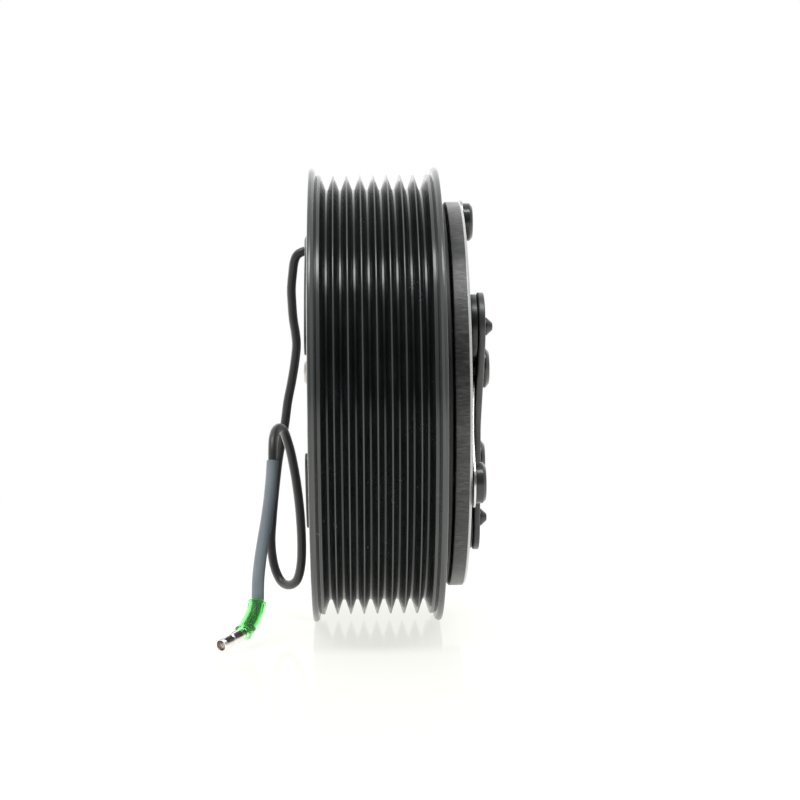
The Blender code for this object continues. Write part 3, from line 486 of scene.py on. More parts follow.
def cut_away(piece, cutters):
    for cutter in cutters:
        modifier = piece.modifiers.new("Cut", "BOOLEAN")
        modifier.operation = "DIFFERENCE"
        modifier.solver = "EXACT"
        modifier.object = cutter
    bpy.context.view_layer.update()
    graph = bpy.context.evaluated_depsgraph_get()
    mesh = bpy.data.meshes.new_from_object(piece.evaluated_get(graph))
    piece.modifiers.clear()
    piece.data = mesh
    for cutter in cutters:
        bpy.data.objects.remove(cutter)
    finish_mesh(piece.data)


def pierce(piece, outlines, rear, front):
    """Cuts straight holes of these outlines, from rear to front along the shaft."""
    cut_away(piece, [slab("cutter", outline, rear, front, 0.01, arc_points=1) for outline in outlines])


def dress(piece, material):
    piece.data.materials.clear()
    piece.data.materials.append(MATERIALS[material])


def stand_for(piece, body, material, slot, *nodes):
    """The piece replaces CAD nodes and moves with their body."""
    dress(piece, material)
    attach(piece, body)
    if nodes:
        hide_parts(*nodes)
    return piece


def turn_small(node, profile, centre, body, material, slot):
    """A small solid turned piece in place of its CAD node."""
    piece = lathe(node + "_fine", rounded(profile, closed=False), SMALL_STEPS, centre)
    stand_for(piece, body, material, slot, node)


# ---- pulley

RIB_PITCH = 3.56
GROOVES = 8
RIB_RADIUS = 59.5
ROOT_RADIUS = 55.6
ROOT_HALF_WIDTH = 0.35
RIB_HALF_CREST = 0.15
END_RIB_HALF_CREST = 0.75
RELIEF_RADIUS = 58.0
RIM_BEVEL = 1.4
TUBE_INNER_RADIUS = 27.8
TUBE_OUTER_RADIUS = 31.3
ROTOR_DISC_BACK = 31.0
ROTOR_WALL_REAR = 28.8
ROTOR_WALL_RADIUS = 25.0
ROTOR_SLOTS = ((46.0, 6, 44.0), (38.0, 4, 68.0))  # radius, how many, degrees each
ROTOR_SLOT_HALF_WIDTH = 1.1


def make_rim():
    rear, front = node_span("pulley_rim")
    middle, half = (rear + front) / 2, (front - rear) / 2
    flange = node_radius("pulley_rim")
    bore = node_radius("rotor_body") + 0.3
    lip = [
        (flange - 1.6, half, 0.5),
        (flange - 0.25, half - 0.15, 0.25),
        (flange, half - 0.85, 0.45),
        (flange - 0.55, half - 1.65, 0.4),
        (RELIEF_RADIUS, half - 2.25, 0.12),
    ]
    ribs = []
    for rib in range(GROOVES + 1):
        crest = (GROOVES / 2 - rib) * RIB_PITCH
        before = END_RIB_HALF_CREST if rib == 0 else RIB_HALF_CREST
        after = END_RIB_HALF_CREST if rib == GROOVES else RIB_HALF_CREST
        ribs.append((RIB_RADIUS, crest + before, 0.17))
        ribs.append((RIB_RADIUS, crest - after, 0.17))
        if rib < GROOVES:
            root = crest - RIB_PITCH / 2
            ribs.append((ROOT_RADIUS, root + ROOT_HALF_WIDTH, 0.25))
            ribs.append((ROOT_RADIUS, root - ROOT_HALF_WIDTH, 0.25))
    rear_lip = [(radius, -along, turn) for radius, along, turn in reversed(lip)]
    inside = [(bore + RIM_BEVEL, -half, 0.3), (bore, -half + RIM_BEVEL, 0.3)]
    inside += [(radius, -along, turn) for radius, along, turn in reversed(inside)]
    profile = [(r, middle + along, turn) for r, along, turn in lip + ribs + rear_lip + inside]
    rim = lathe("pulley_rim_fine", rounded(profile), FINE_STEPS, sharp=50)
    stand_for(rim, "pulley", "enamel", "black_paint", "pulley_rim")


def make_rotor():
    """The friction disc, and the tube that the bearing sits in, with the retaining ring's groove."""
    rear, front = node_span("rotor_body")
    outer = node_radius("rotor_body")
    groove_radius, groove_rear, groove_front = 28.8, 6.4, 8.5
    profile = [
        (outer, front, 0.5),
        (outer, ROTOR_DISC_BACK, 0.4),
        (TUBE_OUTER_RADIUS, ROTOR_DISC_BACK, 1.2),
        (TUBE_OUTER_RADIUS, rear, 0.5),
        (TUBE_INNER_RADIUS, rear, 0.4),
        (TUBE_INNER_RADIUS, groove_rear),
        (groove_radius, groove_rear),
        (groove_radius, groove_front),
        (TUBE_INNER_RADIUS, groove_front),
        (TUBE_INNER_RADIUS, ROTOR_WALL_REAR, 0.2),
        (ROTOR_WALL_RADIUS, ROTOR_WALL_REAR, 0.3),
        (ROTOR_WALL_RADIUS, front, 0.7),
    ]
    rotor = lathe("rotor_body_fine", rounded(profile), FINE_STEPS)
    slots = []
    for radius, count, length in ROTOR_SLOTS:
        for slot in range(count):
            first = 360 * slot / count
            inner, far = radius - ROTOR_SLOT_HALF_WIDTH, radius + ROTOR_SLOT_HALF_WIDTH
            slots.append(arc_band(inner, far, first, first + length))
    pierce(rotor, slots, ROTOR_DISC_BACK - 1, front + 1)
    stand_for(rotor, "pulley", "rotor", "dark_steel", "rotor_body")


# ---- bearing

BALL_CIRCLE = 22.5
GROOVE_TURN = 3.45
BEARING_BORE_RADIUS = 17.5
INNER_RACE_RADIUS = 21.0
OUTER_RACE_RADIUS = 24.5
BEARING_OUTER_RADIUS = 27.5
RETAINER_RADII = (25.2, 28.5)
RETAINER_HALF_GAP = 10.0  # degrees


def race_groove(edge, side, middle):
    """Points of a ball groove, from its front edge to its rear one."""
    reach = math.acos((BALL_CIRCLE - edge) * side / GROOVE_TURN)
    turns = spaced(reach, -reach, 13)
    groove = []
    for turn in turns:
        radius = BALL_CIRCLE - side * GROOVE_TURN * math.cos(turn)
        groove.append((radius, middle + GROOVE_TURN * math.sin(turn)))
    return groove


def make_bearing():
    rear, front = node_span("bearing_inner_race")
    middle = (rear + front) / 2
    inner = [(INNER_RACE_RADIUS, front, 0.4), *race_groove(INNER_RACE_RADIUS, 1, middle)]
    inner.append((INNER_RACE_RADIUS, rear, 0.4))
    inner += [(BEARING_BORE_RADIUS, rear, 0.8), (BEARING_BORE_RADIUS, front, 0.8)]
    race = lathe("bearing_inner_race_fine", rounded(inner))
    stand_for(race, "stator", "race", "bare_steel", "bearing_inner_race")
    outer = [(BEARING_OUTER_RADIUS, front, 0.8), (BEARING_OUTER_RADIUS, rear, 0.8)]
    outer.append((OUTER_RACE_RADIUS, rear, 0.4))
    outer += [*reversed(race_groove(OUTER_RACE_RADIUS, -1, middle)), (OUTER_RACE_RADIUS, front, 0.4)]
    race = lathe("bearing_outer_race_fine", rounded(outer))
    stand_for(race, "pulley", "race", "bare_steel", "bearing_outer_race")
    for name in ("bearing_seal_front", "bearing_seal_rear"):
        low, high = node_span(name)
        side = 1 if low > middle else -1
        outside, inside = (high, low) if side > 0 else (low, high)
        step = side * 0.25
        seal = [
            (24.2, outside, 0.15),
            (23.7, outside, 0.1),
            (23.3, outside - step, 0.1),
            (22.3, outside - step, 0.1),
            (21.9, outside, 0.1),
            (21.35, outside - step, 0.1),
            (21.35, inside, 0.1),
            (24.2, inside, 0.1),
        ]
        if side < 0:
            seal.reverse()
        fine = lathe(name + "_fine", rounded(seal, arc_points=2))
        stand_for(fine, "pulley", "rubber", "black_rubber", name)


def make_retaining_ring():
    """Open ring with an eye at each end for circlip pliers."""
    rear, front = node_span("bearing_retaining_ring")
    band = arc_band(*RETAINER_RADII, 270 + RETAINER_HALF_GAP, 630 - RETAINER_HALF_GAP, 120, 3)
    ring = slab("bearing_retaining_ring_fine", band, rear, front, 0.15)
    from_gap = RETAINER_HALF_GAP + 2.2
    centres = [polar(sum(RETAINER_RADII) / 2, 270 + side * from_gap) for side in (1, -1)]
    eyes = [circle(centre, 0.8, 20) for centre in centres]
    pierce(ring, eyes, rear - 1, front + 1)
    stand_for(ring, "pulley", "ring", "spring_steel", "bearing_retaining_ring")


# ---- coil

HOUSING_RADII = (32.4, 50.8)
HOUSING_WALL = 2.0
PLATE_RADII = (24.0, 44.5)
PLATE_FLAT = -40.0
PLATE_RIVETS = (48.0, 168.0, 300.0)
PLATE_RIVET_CIRCLE = 41.2
GROMMET_CENTRE = (3.0, 39.3)
COVER_ANGLES = (101, 157)
COVER_RADII = (37.5, 44.0)
TAB_ANGLES = (201, 226)
TAB_RADII = (38.5, 44.0)
SEAT_DEPTH = 0.8


def make_coil():
    rear, front = node_span("coil_housing")
    inner, outer = HOUSING_RADII
    profile = [
        (outer, front, 0.3),
        (outer, rear, 1.2),
        (inner, rear, 0.6),
        (inner, front, 0.3),
        (inner + HOUSING_WALL, front, 0.3),
        (inner + HOUSING_WALL, rear + HOUSING_WALL, 0.4),
        (outer - HOUSING_WALL, rear + HOUSING_WALL, 0.4),
        (outer - HOUSING_WALL, front, 0.3),
    ]
    housing = lathe("coil_housing_fine", rounded(profile))
    stand_for(housing, "stator", "coil_steel", "dark_steel", "coil_housing")
    rear, front = node_span("coil_potting_ring")
    near, far = inner + HOUSING_WALL + 0.1, outer - HOUSING_WALL - 0.1
    dip = []
    for share in spaced(0, 1, 15):
        dip.append((far - (far - near) * share, front - 0.5 * math.sin(math.pi * share)))
    potting = lathe("coil_potting_ring_fine", [*reversed(dip), (far, rear), (near, rear)])
    stand_for(potting, "stator", "resin", "black_resin", "coil_potting_ring")


def plate_outline():
    """A circle with a flat at the bottom."""
    half_flat = math.degrees(math.acos(-PLATE_FLAT / PLATE_RADII[1]))
    return [polar(PLATE_RADII[1], angle) for angle in spaced(270 + half_flat, 630 - half_flat, 120)]


def make_mounting_plate():
    rear, front = node_span("coil_mounting_plate")
    plate = slab("coil_mounting_plate_fine", plate_outline(), rear, front, 0.35)
    seats = [(GROMMET_CENTRE, 3.1, 4.2)]
    seats += [(polar(PLATE_RIVET_CIRCLE, angle), 2.1, 3.2) for angle in PLATE_RIVETS]
    holes = [circle((0, 0), PLATE_RADII[0], 96)]
    holes += [circle(centre, hole) for centre, hole, _ in seats]
    for radii, angles in ((COVER_RADII, COVER_ANGLES), (TAB_RADII, TAB_ANGLES)):
        holes.append(arc_band(radii[0] - 0.2, PLATE_RADII[1] + 2, angles[0] + 3.2, angles[1] - 3.2))
    pierce(plate, holes, rear - 1, front + 1)
    pierce(plate, [circle(centre, seat) for centre, _, seat in seats], rear - 1, rear + SEAT_DEPTH)
    stand_for(plate, "stator", "coil_steel", "dark_steel", "coil_mounting_plate")
    for number, angle in enumerate(PLATE_RIVETS, 1):
        node = f"plate_rivet_{number}"
        low, high = node_span(node)
        head = [
            (0, low),
            (1.4, low + 0.04),
            (2.5, low + 0.25),
            (3.0, low + 0.75),
            (2.9, rear),
            (2.0, rear),
            (2.0, high),
            (0, high),
        ]
        centre = polar(PLATE_RIVET_CIRCLE, angle)
        turn_small(node, head, centre, "stator", "zinc", "bare_steel")


def make_plate_trim():
    """The cover over the lead's joint, and the tab that stops the coil turning."""
    rear, front = node_span("lead_cover")
    cover = slab("lead_cover_fine", arc_band(*COVER_RADII, *COVER_ANGLES, 40, 12), rear, front, 0.35)
    stand_for(cover, "stator", "resin", "black_resin", "lead_cover")
    rear, front = node_span("locating_tab")
    tab = slab("locating_tab_fine", arc_band(*TAB_RADII, *TAB_ANGLES, 24, 10), rear, front, 0.3)
    stand_for(tab, "stator", "coil_steel", "dark_steel", "locating_tab")


def make_grommet():
    rear, front = node_span("lead_grommet")
    profile = [
        (2.9, front, 0.3),
        (2.9, -0.05),
        (4.0, -0.05, 0.2),
        (3.4, rear, 0.5),
        (1.36, rear, 0.2),
        (1.36, front, 0.2),
    ]
    grommet = lathe("lead_grommet_fine", rounded(profile), SMALL_STEPS, GROMMET_CENTRE)
    stand_for(grommet, "stator", "rubber", "black_rubber", "lead_grommet")


# ---- hub

LEAF_INNER_CIRCLE = 18.4
LEAF_INNER_ANGLE = 154.5
LEAF_OUTER_CIRCLE = 46.9
LEAF_OUTER_ANGLE = 204.7
LOBE_CIRCLE = 33.8
LOBE_ANGLE = 145.4
LOBE_RADIUS = 8.8
WAIST_RADIUS = 18.5
WAIST_ROUNDING = 8.0
SPLINES = 24
SPLINE_TIP_RADIUS = 7.5
SPLINE_ROOT_RADIUS = 7.88
HUB_NOSE_RADIUS = 10.4
HUB_FLANGE_RADIUS = 23.0
HUB_FLANGE_REAR = 40.0
HUB_FLANGE_FRONT = 41.5
HUB_BOSS_RADIUS = 13.0
HUB_CHANNEL_RADIUS = 7.9  # inside the hub and its shim
RIVET_RADIUS = 2.5
RIVET_HOLE_RADIUS = 2.6
BUMPER_STEM_RADIUS = 1.6
BUMPER_PAD_RADIUS = 8.4
TOUCHING = 0.02  # between a head and the face it rests on


def each_spoke():
    """Number and turn about the shaft of each arm of the hub, its leaf spring and its rivets."""
    return [(number + 1, 360 * number / SPOKES) for number in range(SPOKES)]


def inner_rivet_place(turn):
    return polar(LEAF_INNER_CIRCLE, LEAF_INNER_ANGLE + turn)


def outer_rivet_place(turn):
    return polar(LEAF_OUTER_CIRCLE, LEAF_OUTER_ANGLE + turn)


def lobe_place(turn):
    return polar(LOBE_CIRCLE, LOBE_ANGLE + turn)


def make_hub():
    """The flange and boss, and the splined sleeve that fits the shaft."""
    rear, front = node_span("hub")
    profile = [
        (HUB_NOSE_RADIUS, front, 0.5),
        (HUB_NOSE_RADIUS, HUB_FLANGE_FRONT, 0.2),
        (HUB_FLANGE_RADIUS, HUB_FLANGE_FRONT, 0.3),
        (HUB_FLANGE_RADIUS, HUB_FLANGE_REAR, 0.3),
        (HUB_BOSS_RADIUS, HUB_FLANGE_REAR, 0.8),
        (HUB_BOSS_RADIUS, rear, 0.9),
        (HUB_CHANNEL_RADIUS, rear, 0.5),
        (HUB_CHANNEL_RADIUS, front, 0.5),
    ]
    hub = lathe("hub_fine", rounded(profile))
    holes = [circle(inner_rivet_place(turn), RIVET_HOLE_RADIUS) for _, turn in each_spoke()]
    pierce(hub, holes, HUB_FLANGE_REAR - 1, HUB_FLANGE_FRONT + 1.5)
    teeth = []
    for step in range(SPLINES * 4):
        radius = SPLINE_TIP_RADIUS if step % 4 in (1, 2) else SPLINE_ROOT_RADIUS
        teeth.append(polar(radius, 360 * step / (SPLINES * 4)))
    spline = slab("hub_spline_fine", circle((0, 0), 8.3, 96), rear + 1.5, front - 1.5, 0.1)
    pierce(spline, [teeth], rear, front)
    stand_for(spline, "hub_assembly", "zinc", "bare_steel")
    stand_for(hub, "hub_assembly", "rivet", "dark_steel", "hub")


def hub_plate_outline():
    """Round the three lobes, with a hollow curve between them and straight lines that touch both."""
    outline = []
    for _, spoke in each_spoke():
        lobe = LOBE_ANGLE + spoke
        centre = polar(LOBE_CIRCLE, lobe)
        hollow = polar(WAIST_RADIUS + WAIST_ROUNDING, lobe + 180 / SPOKES)
        span = hollow - centre
        lean = math.acos((LOBE_RADIUS + WAIST_ROUNDING) / span.length)
        reach = math.degrees(centre.angle(span) - lean)
        outline += [centre + polar(LOBE_RADIUS, lobe + turn) for turn in spaced(-reach, reach, 33)]
        turns = spaced(reach, 360 / SPOKES - reach, 13)
        outline += [hollow + polar(WAIST_ROUNDING, lobe + 180 + turn) for turn in turns]
    return outline


def make_hub_plate():
    rear, front = node_span("hub_plate")
    plate = slab("hub_plate_fine", hub_plate_outline(), rear, front, 0.35)
    holes = [circle((0, 0), HUB_NOSE_RADIUS + 0.2, 64)]
    for _, turn in each_spoke():
        holes.append(circle(inner_rivet_place(turn), RIVET_HOLE_RADIUS))
        holes.append(circle(lobe_place(turn), BUMPER_STEM_RADIUS + 0.1))
    pierce(plate, holes, rear - 1, front + 1)
    stand_for(plate, "hub_assembly", "plate_enamel", "black_paint", "hub_plate")


def make_hub_rivets():
    for number, turn in each_spoke():
        node = f"hub_rivet_{number}"
        rear, front = node_span(node)
        seat = node_span("hub_plate")[1] + TOUCHING
        flange_rear = HUB_FLANGE_REAR - 0.05
        profile = [
            (0, front),
            (4.3, front, 0.6),
            (5.4, front - 0.95, 0.5),
            (5.3, seat, 0.15),
            (RIVET_RADIUS, seat),
            (RIVET_RADIUS, flange_rear),
            (3.5, flange_rear, 0.2),
            (3.2, rear, 0.3),
            (0, rear),
        ]
        centre = inner_rivet_place(turn)
        turn_small(node, profile, centre, "hub_assembly", "rivet", "dark_steel")


def make_bumpers():
    """Rubber stops pushed through the plate's lobes, each with a pointed nose and a flat pad."""
    plate_rear, plate_front = node_span("hub_plate")
    for number, turn in each_spoke():
        node = f"stop_bumper_{number}"
        rear, front = node_span(node)
        profile = [
            (0, front),
            (0.95, front - 0.1, 0.5),
            (2.4, plate_front + 0.75, 0.5),
            (2.3, plate_front + TOUCHING, 0.15),
            (BUMPER_STEM_RADIUS, plate_front + TOUCHING),
            (BUMPER_STEM_RADIUS, plate_rear - TOUCHING),
            (BUMPER_PAD_RADIUS, plate_rear - TOUCHING, 0.5),
            (BUMPER_PAD_RADIUS - 0.1, rear, 0.6),
            (0, rear),
        ]
        centre = lobe_place(turn)
        turn_small(node, profile, centre, "hub_assembly", "rubber", "black_rubber")


def make_shim():
    rear, front = node_span("hub_shim")
    profile = [(11.0, front, 0.1), (11.0, rear, 0.1)]
    profile += [(HUB_CHANNEL_RADIUS, rear, 0.1), (HUB_CHANNEL_RADIUS, front, 0.1)]
    shim = lathe("hub_shim_fine", rounded(profile), 96)
    stand_for(shim, "hub_assembly", "spring", "spring_steel", "hub_shim")


# ---- armature

ARMATURE_HOLE_RADIUS = 24.5
ARMATURE_CHAMFER = 0.55
ARMATURE_SLOT_RADIUS = 42.7
ARMATURE_SLOT_HALF_WIDTH = 0.8
ARMATURE_SLOT_HALF_ANGLE = 17.0
LEAF_THICKNESS = 0.6
LEAF_HALF_WIDTH = 6.2
LEAF_GAP = 0.3  # between the leaf and the armature's face


def make_armature():
    rear, front = node_span("armature_plate")
    outer = node_radius("armature_plate")
    profile = [
        (outer - ARMATURE_CHAMFER, front, 0.15),
        (outer, front - ARMATURE_CHAMFER, 0.2),
        (outer, rear, 0.3),
        (ARMATURE_HOLE_RADIUS, rear, 0.3),
        (ARMATURE_HOLE_RADIUS, front, 0.4),
    ]
    plate = lathe("armature_plate_fine", rounded(profile), FINE_STEPS)
    slot_inner = ARMATURE_SLOT_RADIUS - ARMATURE_SLOT_HALF_WIDTH
    slot_outer = ARMATURE_SLOT_RADIUS + ARMATURE_SLOT_HALF_WIDTH
    holes = []
    for _, turn in each_spoke():
        holes.append(circle(outer_rivet_place(turn), RIVET_HOLE_RADIUS))
        for third in (1, 2):
            middle = LEAF_OUTER_ANGLE + turn + 360 * third / (3 * SPOKES)
            first, last = middle - ARMATURE_SLOT_HALF_ANGLE, middle + ARMATURE_SLOT_HALF_ANGLE
            holes.append(arc_band(slot_inner, slot_outer, first, last))
    pierce(plate, holes, rear - 1, front + 1)
    stand_for(plate, "armature", "armature", "dark_steel", "armature_plate")


def make_armature_rivets():
    for number, turn in each_spoke():
        node = f"armature_rivet_{number}"
        rear, front = node_span(node)
        seat = node_span("armature_plate")[1] + LEAF_GAP + LEAF_THICKNESS + TOUCHING
        profile = [
            (0, front),
            (4.3, front, 0.5),
            (5.2, front - 0.8, 0.5),
            (5.2, seat, 0.2),
            (RIVET_RADIUS, seat),
            (RIVET_RADIUS, rear),
            (0, rear),
        ]
        centre = outer_rivet_place(turn)
        turn_small(node, profile, centre, "armature", "rivet", "dark_steel")


def make_leaf(number, turn):
    """Spring strip with round ends, curved in an S along the shaft from the armature's rivet to the hub's
    rivet.
    """
    node = f"leaf_spring_{number}"
    low, high = node_span(node)
    rise = high - low - LEAF_THICKNESS
    inner, outer = inner_rivet_place(turn), outer_rivet_place(turn)
    along = (outer - inner).normalized()
    heading = math.degrees(math.atan2(along.y, along.x))
    outline = [outer + polar(LEAF_HALF_WIDTH, heading + a) for a in spaced(-90, 90, 25)]
    outline += [inner + polar(LEAF_HALF_WIDTH, heading + a) for a in spaced(90, 270, 25)]
    first, last = LEAF_HALF_WIDTH, (outer - inner).length - LEAF_HALF_WIDTH

    def lift(y, z):
        gone = (Vector((y, z)) - inner).dot(along)
        share = min(max((last - gone) / (last - first), 0), 1)
        return rise * share * share * (3 - 2 * share)

    stations = [(inner + along * gone, along) for gone in spaced(first, last, 15)]
    leaf = slab(node + "_fine", outline, low, low + LEAF_THICKNESS, 0.12, stations, lift)
    holes = [circle(place, RIVET_HOLE_RADIUS) for place in (inner, outer)]
    pierce(leaf, holes, low - 2, high + 2)
    dress(leaf, "spring")
    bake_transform(leaf)
    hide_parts(node)


# ---- lead

WIRE_RADIUS = 1.25
LEAD_ROUTE = (
    (-1.0, 3.0, 39.3),
    (-3.1, 3.0, 38.3),
    (-4.1, 3.2, 36.4),
    (-4.6, 3.4, 33.2),
    (-5.0, 3.6, 29.1),
    (-4.9, 3.5, 25.0),
    (-4.6, 3.3, 20.7),
    (-4.0, 3.1, 16.6),
    (-3.8, 3.0, 13.3),
    (-4.3, 3.0, 8.9),
    (-5.2, 3.0, 3.7),
    (-6.4, 3.0, -2.1),
    (-7.4, 3.0, -8.9),
    (-9.1, 3.0, -17.5),
    (-10.2, 3.0, -26.0),
    (-11.0, 2.6, -34.0),
    (-11.4, 1.8, -40.8),
    (-10.6, 0.5, -46.9),
    (-8.7, -1.3, -50.9),
    (-6.3, -3.7, -51.6),
    (-4.1, -5.7, -49.7),
    (-3.0, -6.8, -45.0),
    (-2.8, -7.1, -38.4),
    (-3.2, -6.9, -30.4),
    (-4.1, -6.4, -22.5),
    (-5.3, -6.2, -15.7),
    (-6.2, -7.0, -12.0),
    (-7.0, -8.4, -9.4),
    (-8.0, -10.6, -8.0),
    (-9.1, -13.4, -8.4),
    (-9.7, -16.0, -10.3),
    (-9.8, -17.8, -12.7),
    (-9.8, -18.9, -15.1),
)
SLEEVE_ROUTE = (
    (-9.8, -19.3, -16.0),
    (-10.1, -21.1, -20.8),
    (-10.6, -23.3, -25.8),
    (-11.3, -25.5, -30.7),
    (-12.2, -27.9, -35.9),
    (-12.9, -30.0, -40.5),
    (-13.4, -32.1, -45.3),
    (-13.5, -33.9, -50.1),
)
INSULATOR_ROUTE = (
    (-13.6, -34.2, -50.7),
    (-14.0, -35.5, -52.6),
    (-14.8, -37.2, -54.4),
    (-15.8, -39.2, -55.9),
    (-16.9, -41.3, -57.2),
)
BULLET_START = (-17.3, -42.0, -57.5)
BULLET_END = (-22.1, -49.0, -58.9)


def smooth_route(route, spacing):
    """Evenly spaced points on a Catmull-Rom curve through the route."""
    points = [Vector(point) for point in route]
    points = [points[0] * 2 - points[1], *points, points[-1] * 2 - points[-2]]
    fine = []
    for a, b, c, d in zip(points, points[1:], points[2:], points[3:]):
        for step in range(24):
            t = step / 24
            bend = (a * 2 - b * 5 + c * 4 - d) * 0.5 + (b * 3 - a - c * 3 + d) * 0.5 * t
            fine.append(b + (c - a) * 0.5 * t + bend * t * t)
    fine.append(points[-2])
    gone = [0.0]
    for near, far in zip(fine, fine[1:]):
        gone.append(gone[-1] + (far - near).length)
    count = max(2, round(gone[-1] / spacing)) + 1
    even = []
    for i in range(count):
        wanted = gone[-1] * i / (count - 1)
        after = next((k for k in range(1, len(gone)) if gone[k] >= wanted), len(gone) - 1)
        share = (wanted - gone[after - 1]) / (gone[after] - gone[after - 1])
        even.append(fine[after - 1].lerp(fine[after], share))
    return even, gone[-1]


def hose(name, points, radii, sides=32):
    """Hollow round piece along the points. radii gives (outer, inner) at a share of the way."""
    work = bmesh.new()
    frames = []
    normal = Vector((0, 1, 0))
    for i, here in enumerate(points):
        ahead = points[min(i + 1, len(points) - 1)] - points[max(i - 1, 0)]
        ahead.normalize()
        normal = (normal - ahead * normal.dot(ahead)).normalized()
        frames.append((here, normal.copy(), ahead.cross(normal)))
    shells = []
    for which in (0, 1):
        rings = []
        for i, (here, across, up) in enumerate(frames):
            radius = radii(i / (len(frames) - 1))[which]
            ring = []
            for side in range(sides):
                turn = 2 * math.pi * side / sides
                spoke = across * math.cos(turn) + up * math.sin(turn)
                ring.append(work.verts.new((here + spoke * radius) * MM))
            rings.append(ring)
        for low, high in zip(rings, rings[1:]):
            for s in range(sides):
                work.faces.new((low[s], low[(s + 1) % sides], high[(s + 1) % sides], high[s]))
        shells.append(rings)
    for end in (0, -1):
        outer, inner = shells[0][end], shells[1][end]
        for s in range(sides):
            work.faces.new((outer[s], outer[(s + 1) % sides], inner[(s + 1) % sides], inner[s]))
    return mesh_piece(name, work, 45)


def make_wire():
    """The whole lead, from the grommet through its sleeve to the terminal's crimp."""
    route = LEAD_ROUTE + SLEEVE_ROUTE + INSULATOR_ROUTE[:4]
    points, length = smooth_route(route, 0.6)
    curve = bpy.data.curves.new("lead_wire_fine", "CURVE")
    curve.dimensions = "3D"
    curve.bevel_depth = WIRE_RADIUS * MM
    curve.bevel_resolution = 6
    curve.use_fill_caps = True
    spline = curve.splines.new("POLY")
    spline.points.add(len(points) - 1)
    for place, point in zip(spline.points, points):
        place.co = (*(point * MM), 1)
    spline.use_smooth = True
    return new_piece("lead_wire_fine", curve), length


def make_sleeve():
    points, _ = smooth_route(SLEEVE_ROUTE + INSULATOR_ROUTE[:1], 0.8)
    return hose("lead_sleeve_fine", points, lambda share: (1.6, 1.27))


def make_insulator():
    """Soft green sheath: a collar that grips the lead, a bend, and an open mouth round the pin."""
    points, _ = smooth_route(INSULATOR_ROUTE, 0.35)

    def radii(share):
        flare = 0.12 * max(0.0, 1 - share / 0.12) + 0.1 * max(0.0, (share - 0.9) / 0.1)
        return 2.2 + flare, 1.66

    return hose("terminal_insulator_fine", points, radii, 40)


def make_bullet():
    """Tinned pin: a wire barrel inside the sheath, a crimped neck, and a hollow round nose."""
    start, end = Vector(BULLET_START), Vector(BULLET_END)
    along = (end - start).normalized()
    length = (end - start).length
    barrel, hollow = 4.2, 2.6
    profile = [
        (0, length - hollow),
        (1.15, length - hollow, 0.2),
        (1.3, length, 0.12),
        (1.6, length - 0.1, 0.12),
        (1.8, length - 0.8, 0.3),
        (1.8, length - 3.5, 0.3),
        (1.5, length - 3.9, 0.2),
        (1.72, length - 4.3, 0.2),
        (1.72, 1.3, 0.3),
        (1.25, 0.7, 0.3),
        (1.2, -1.0, 0.3),
        (1.45, -1.5, 0.3),
        (1.4, -barrel, 0.3),
        (0, -barrel),
    ]
    bullet = lathe("bullet_terminal_fine", rounded(profile, closed=False), 48)
    seam = [Vector(corner) for corner in ((-0.16, 1.0), (0.16, 1.0), (0.16, 3.0), (-0.16, 3.0))]
    cut_away(bullet, [slab("seam", seam, -0.5, length - 4.6, 0.02, arc_points=1)])
    turn = along.to_track_quat("X", "Z").to_matrix().to_4x4()
    bullet.data.transform(Matrix.Translation(start * MM) @ turn)
    return bullet


def make_lead():
    sleeve = make_sleeve()
    insulator = make_insulator()
    bullet = make_bullet()
    wire, length = make_wire()
    stand_for(wire, "stator", "wire", "black_rubber", "lead_wire")
    stand_for(sleeve, "stator", "sleeve", "grey_sleeve", "lead_sleeve")
    stand_for(insulator, "stator", "green", "green_pvc", "terminal_insulator")
    stand_for(bullet, "stator", "tin", "tinned_brass", "bullet_terminal")


# ---- what stays CAD


def dress_inner_nodes():
    """The ball set, bobbin and winding keep their CAD shape."""
    dress(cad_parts["coil_bobbin"], "nylon")
    dress(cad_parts["coil_winding"], "copper")
    dress(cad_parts["bearing_cage"], "nylon")
    for name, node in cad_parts.items():
        if name.startswith("bearing_ball_"):
            dress(node, "race")


# ---- stage

FLOOR_HEIGHT = -61.5


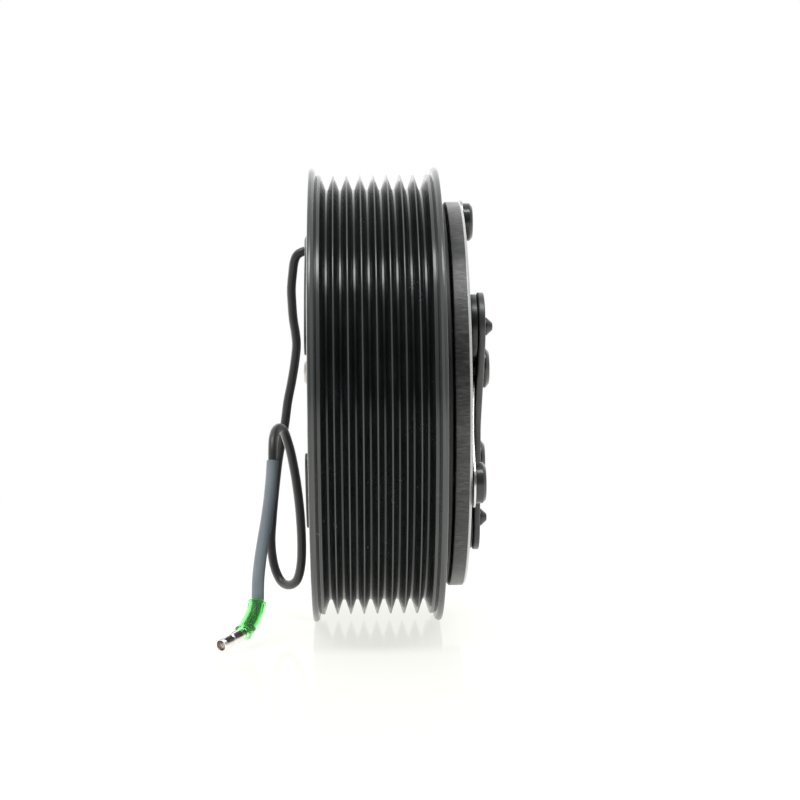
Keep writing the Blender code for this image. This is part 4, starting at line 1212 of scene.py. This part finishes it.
def make_floor():
    """Glossy white sheet, so brightly lit near the part that its shadows almost vanish, and pure
    white further away."""
    material, tree, shader = new_material("white_floor", (0.9, 0.9, 0.9), 0.14, 0.0, ior=1.22)
    uneven = noise(tree, object_point(tree), 9.0, 2.0)
    feed(tree, shader, roughness=ramp(tree, uneven, 0.3, 0.7, 0.05, 0.1))
    length = new_node(tree, "ShaderNodeVectorMath", {0: object_point(tree)}, operation="LENGTH")
    away = length.outputs["Value"]
    seen = new_node(tree, "ShaderNodeLightPath").outputs["Is Camera Ray"]
    strength = maths(tree, "SUBTRACT", 2.1, maths(tree, "MULTIPLY", seen, 1.1))
    tint = mix_colour(tree, ramp(tree, away, 0.08, 0.3), (1.02, 1.02, 0.96, 1), (1, 1, 1, 1))
    warm = mix_colour(tree, seen, (1, 0.985, 0.94, 1), tint)
    white = new_node(tree, "ShaderNodeEmission", {"Color": warm, "Strength": strength})
    seen_share = maths(tree, "MULTIPLY", seen, ramp(tree, away, 0.08, 0.3, 0.72, 1.0))
    share = maths(tree, "MAXIMUM", seen_share, 0.4)
    both = new_node(tree, "ShaderNodeMixShader", {0: share, 1: shader.outputs[0], 2: white.outputs[0]})
    tree.links.new(both.outputs[0], tree.nodes["Material Output"].inputs["Surface"])
    mesh = bpy.data.meshes.new("floor")
    work = bmesh.new()
    bmesh.ops.create_grid(work, x_segments=1, y_segments=1, size=6.0)
    work.to_mesh(mesh)
    work.free()
    mesh.materials.append(material)
    floor = new_piece("floor", mesh)
    floor.location = (0, 0, FLOOR_HEIGHT * MM)


def make_world():
    """A white studio: bright behind, beside and above, and darker where the camera stands."""
    world = bpy.data.worlds.new("studio")
    bpy.context.scene.world = world
    world.use_nodes = True
    tree = world.node_tree
    tree.nodes.clear()
    direction = new_node(tree, "ShaderNodeTexCoord").outputs["Generated"]
    split = new_node(tree, "ShaderNodeSeparateXYZ", {"Vector": direction})
    beside = ramp(tree, split.outputs["Y"], -0.9, -0.1, 0.08, 0.8)
    behind = ramp(tree, split.outputs["Y"], 0.3, 0.95, 0.0, 1.1)
    lit = maths(tree, "ADD", beside, behind)
    room = new_node(tree, "ShaderNodeBackground", {"Color": (1, 1, 1, 1), "Strength": lit})
    seen = new_node(tree, "ShaderNodeBackground", {"Color": (1, 1, 1, 1), "Strength": 1.0})
    ray = new_node(tree, "ShaderNodeLightPath").outputs["Is Camera Ray"]
    both = new_node(tree, "ShaderNodeMixShader", {0: ray, 1: room.outputs[0], 2: seen.outputs[0]})
    out = tree.nodes.new("ShaderNodeOutputWorld")
    tree.links.new(both.outputs[0], out.inputs["Surface"])


def area_light(name, place, target, size, power):
    data = bpy.data.lights.new(name, "AREA")
    data.shape = "RECTANGLE"
    data.size, data.size_y = size
    data.energy = power
    light = bpy.data.objects.new(name, data)
    bpy.context.scene.collection.objects.link(light)
    light.location = place
    aim = Vector(target) - Vector(place)
    light.rotation_euler = aim.to_track_quat("-Z", "Y").to_euler()


def make_lights():
    area_light("overhead_strip", (0.02, -0.37, 1.14), (0.02, 0, 0), (1.6, 0.27), 15)


# ---- all of it

make_camera()
make_materials()
make_lead()
make_rim()
make_rotor()
make_bearing()
make_retaining_ring()
make_coil()
make_mounting_plate()
make_plate_trim()
make_grommet()
make_hub()
make_hub_plate()
make_hub_rivets()
make_bumpers()
make_shim()
make_armature()
make_armature_rivets()
for spoke_number, spoke_turn in each_spoke():
    make_leaf(spoke_number, spoke_turn)
dress_inner_nodes()
make_floor()
make_world()
make_lights()
bpy.context.scene.view_settings.view_transform = "Standard"
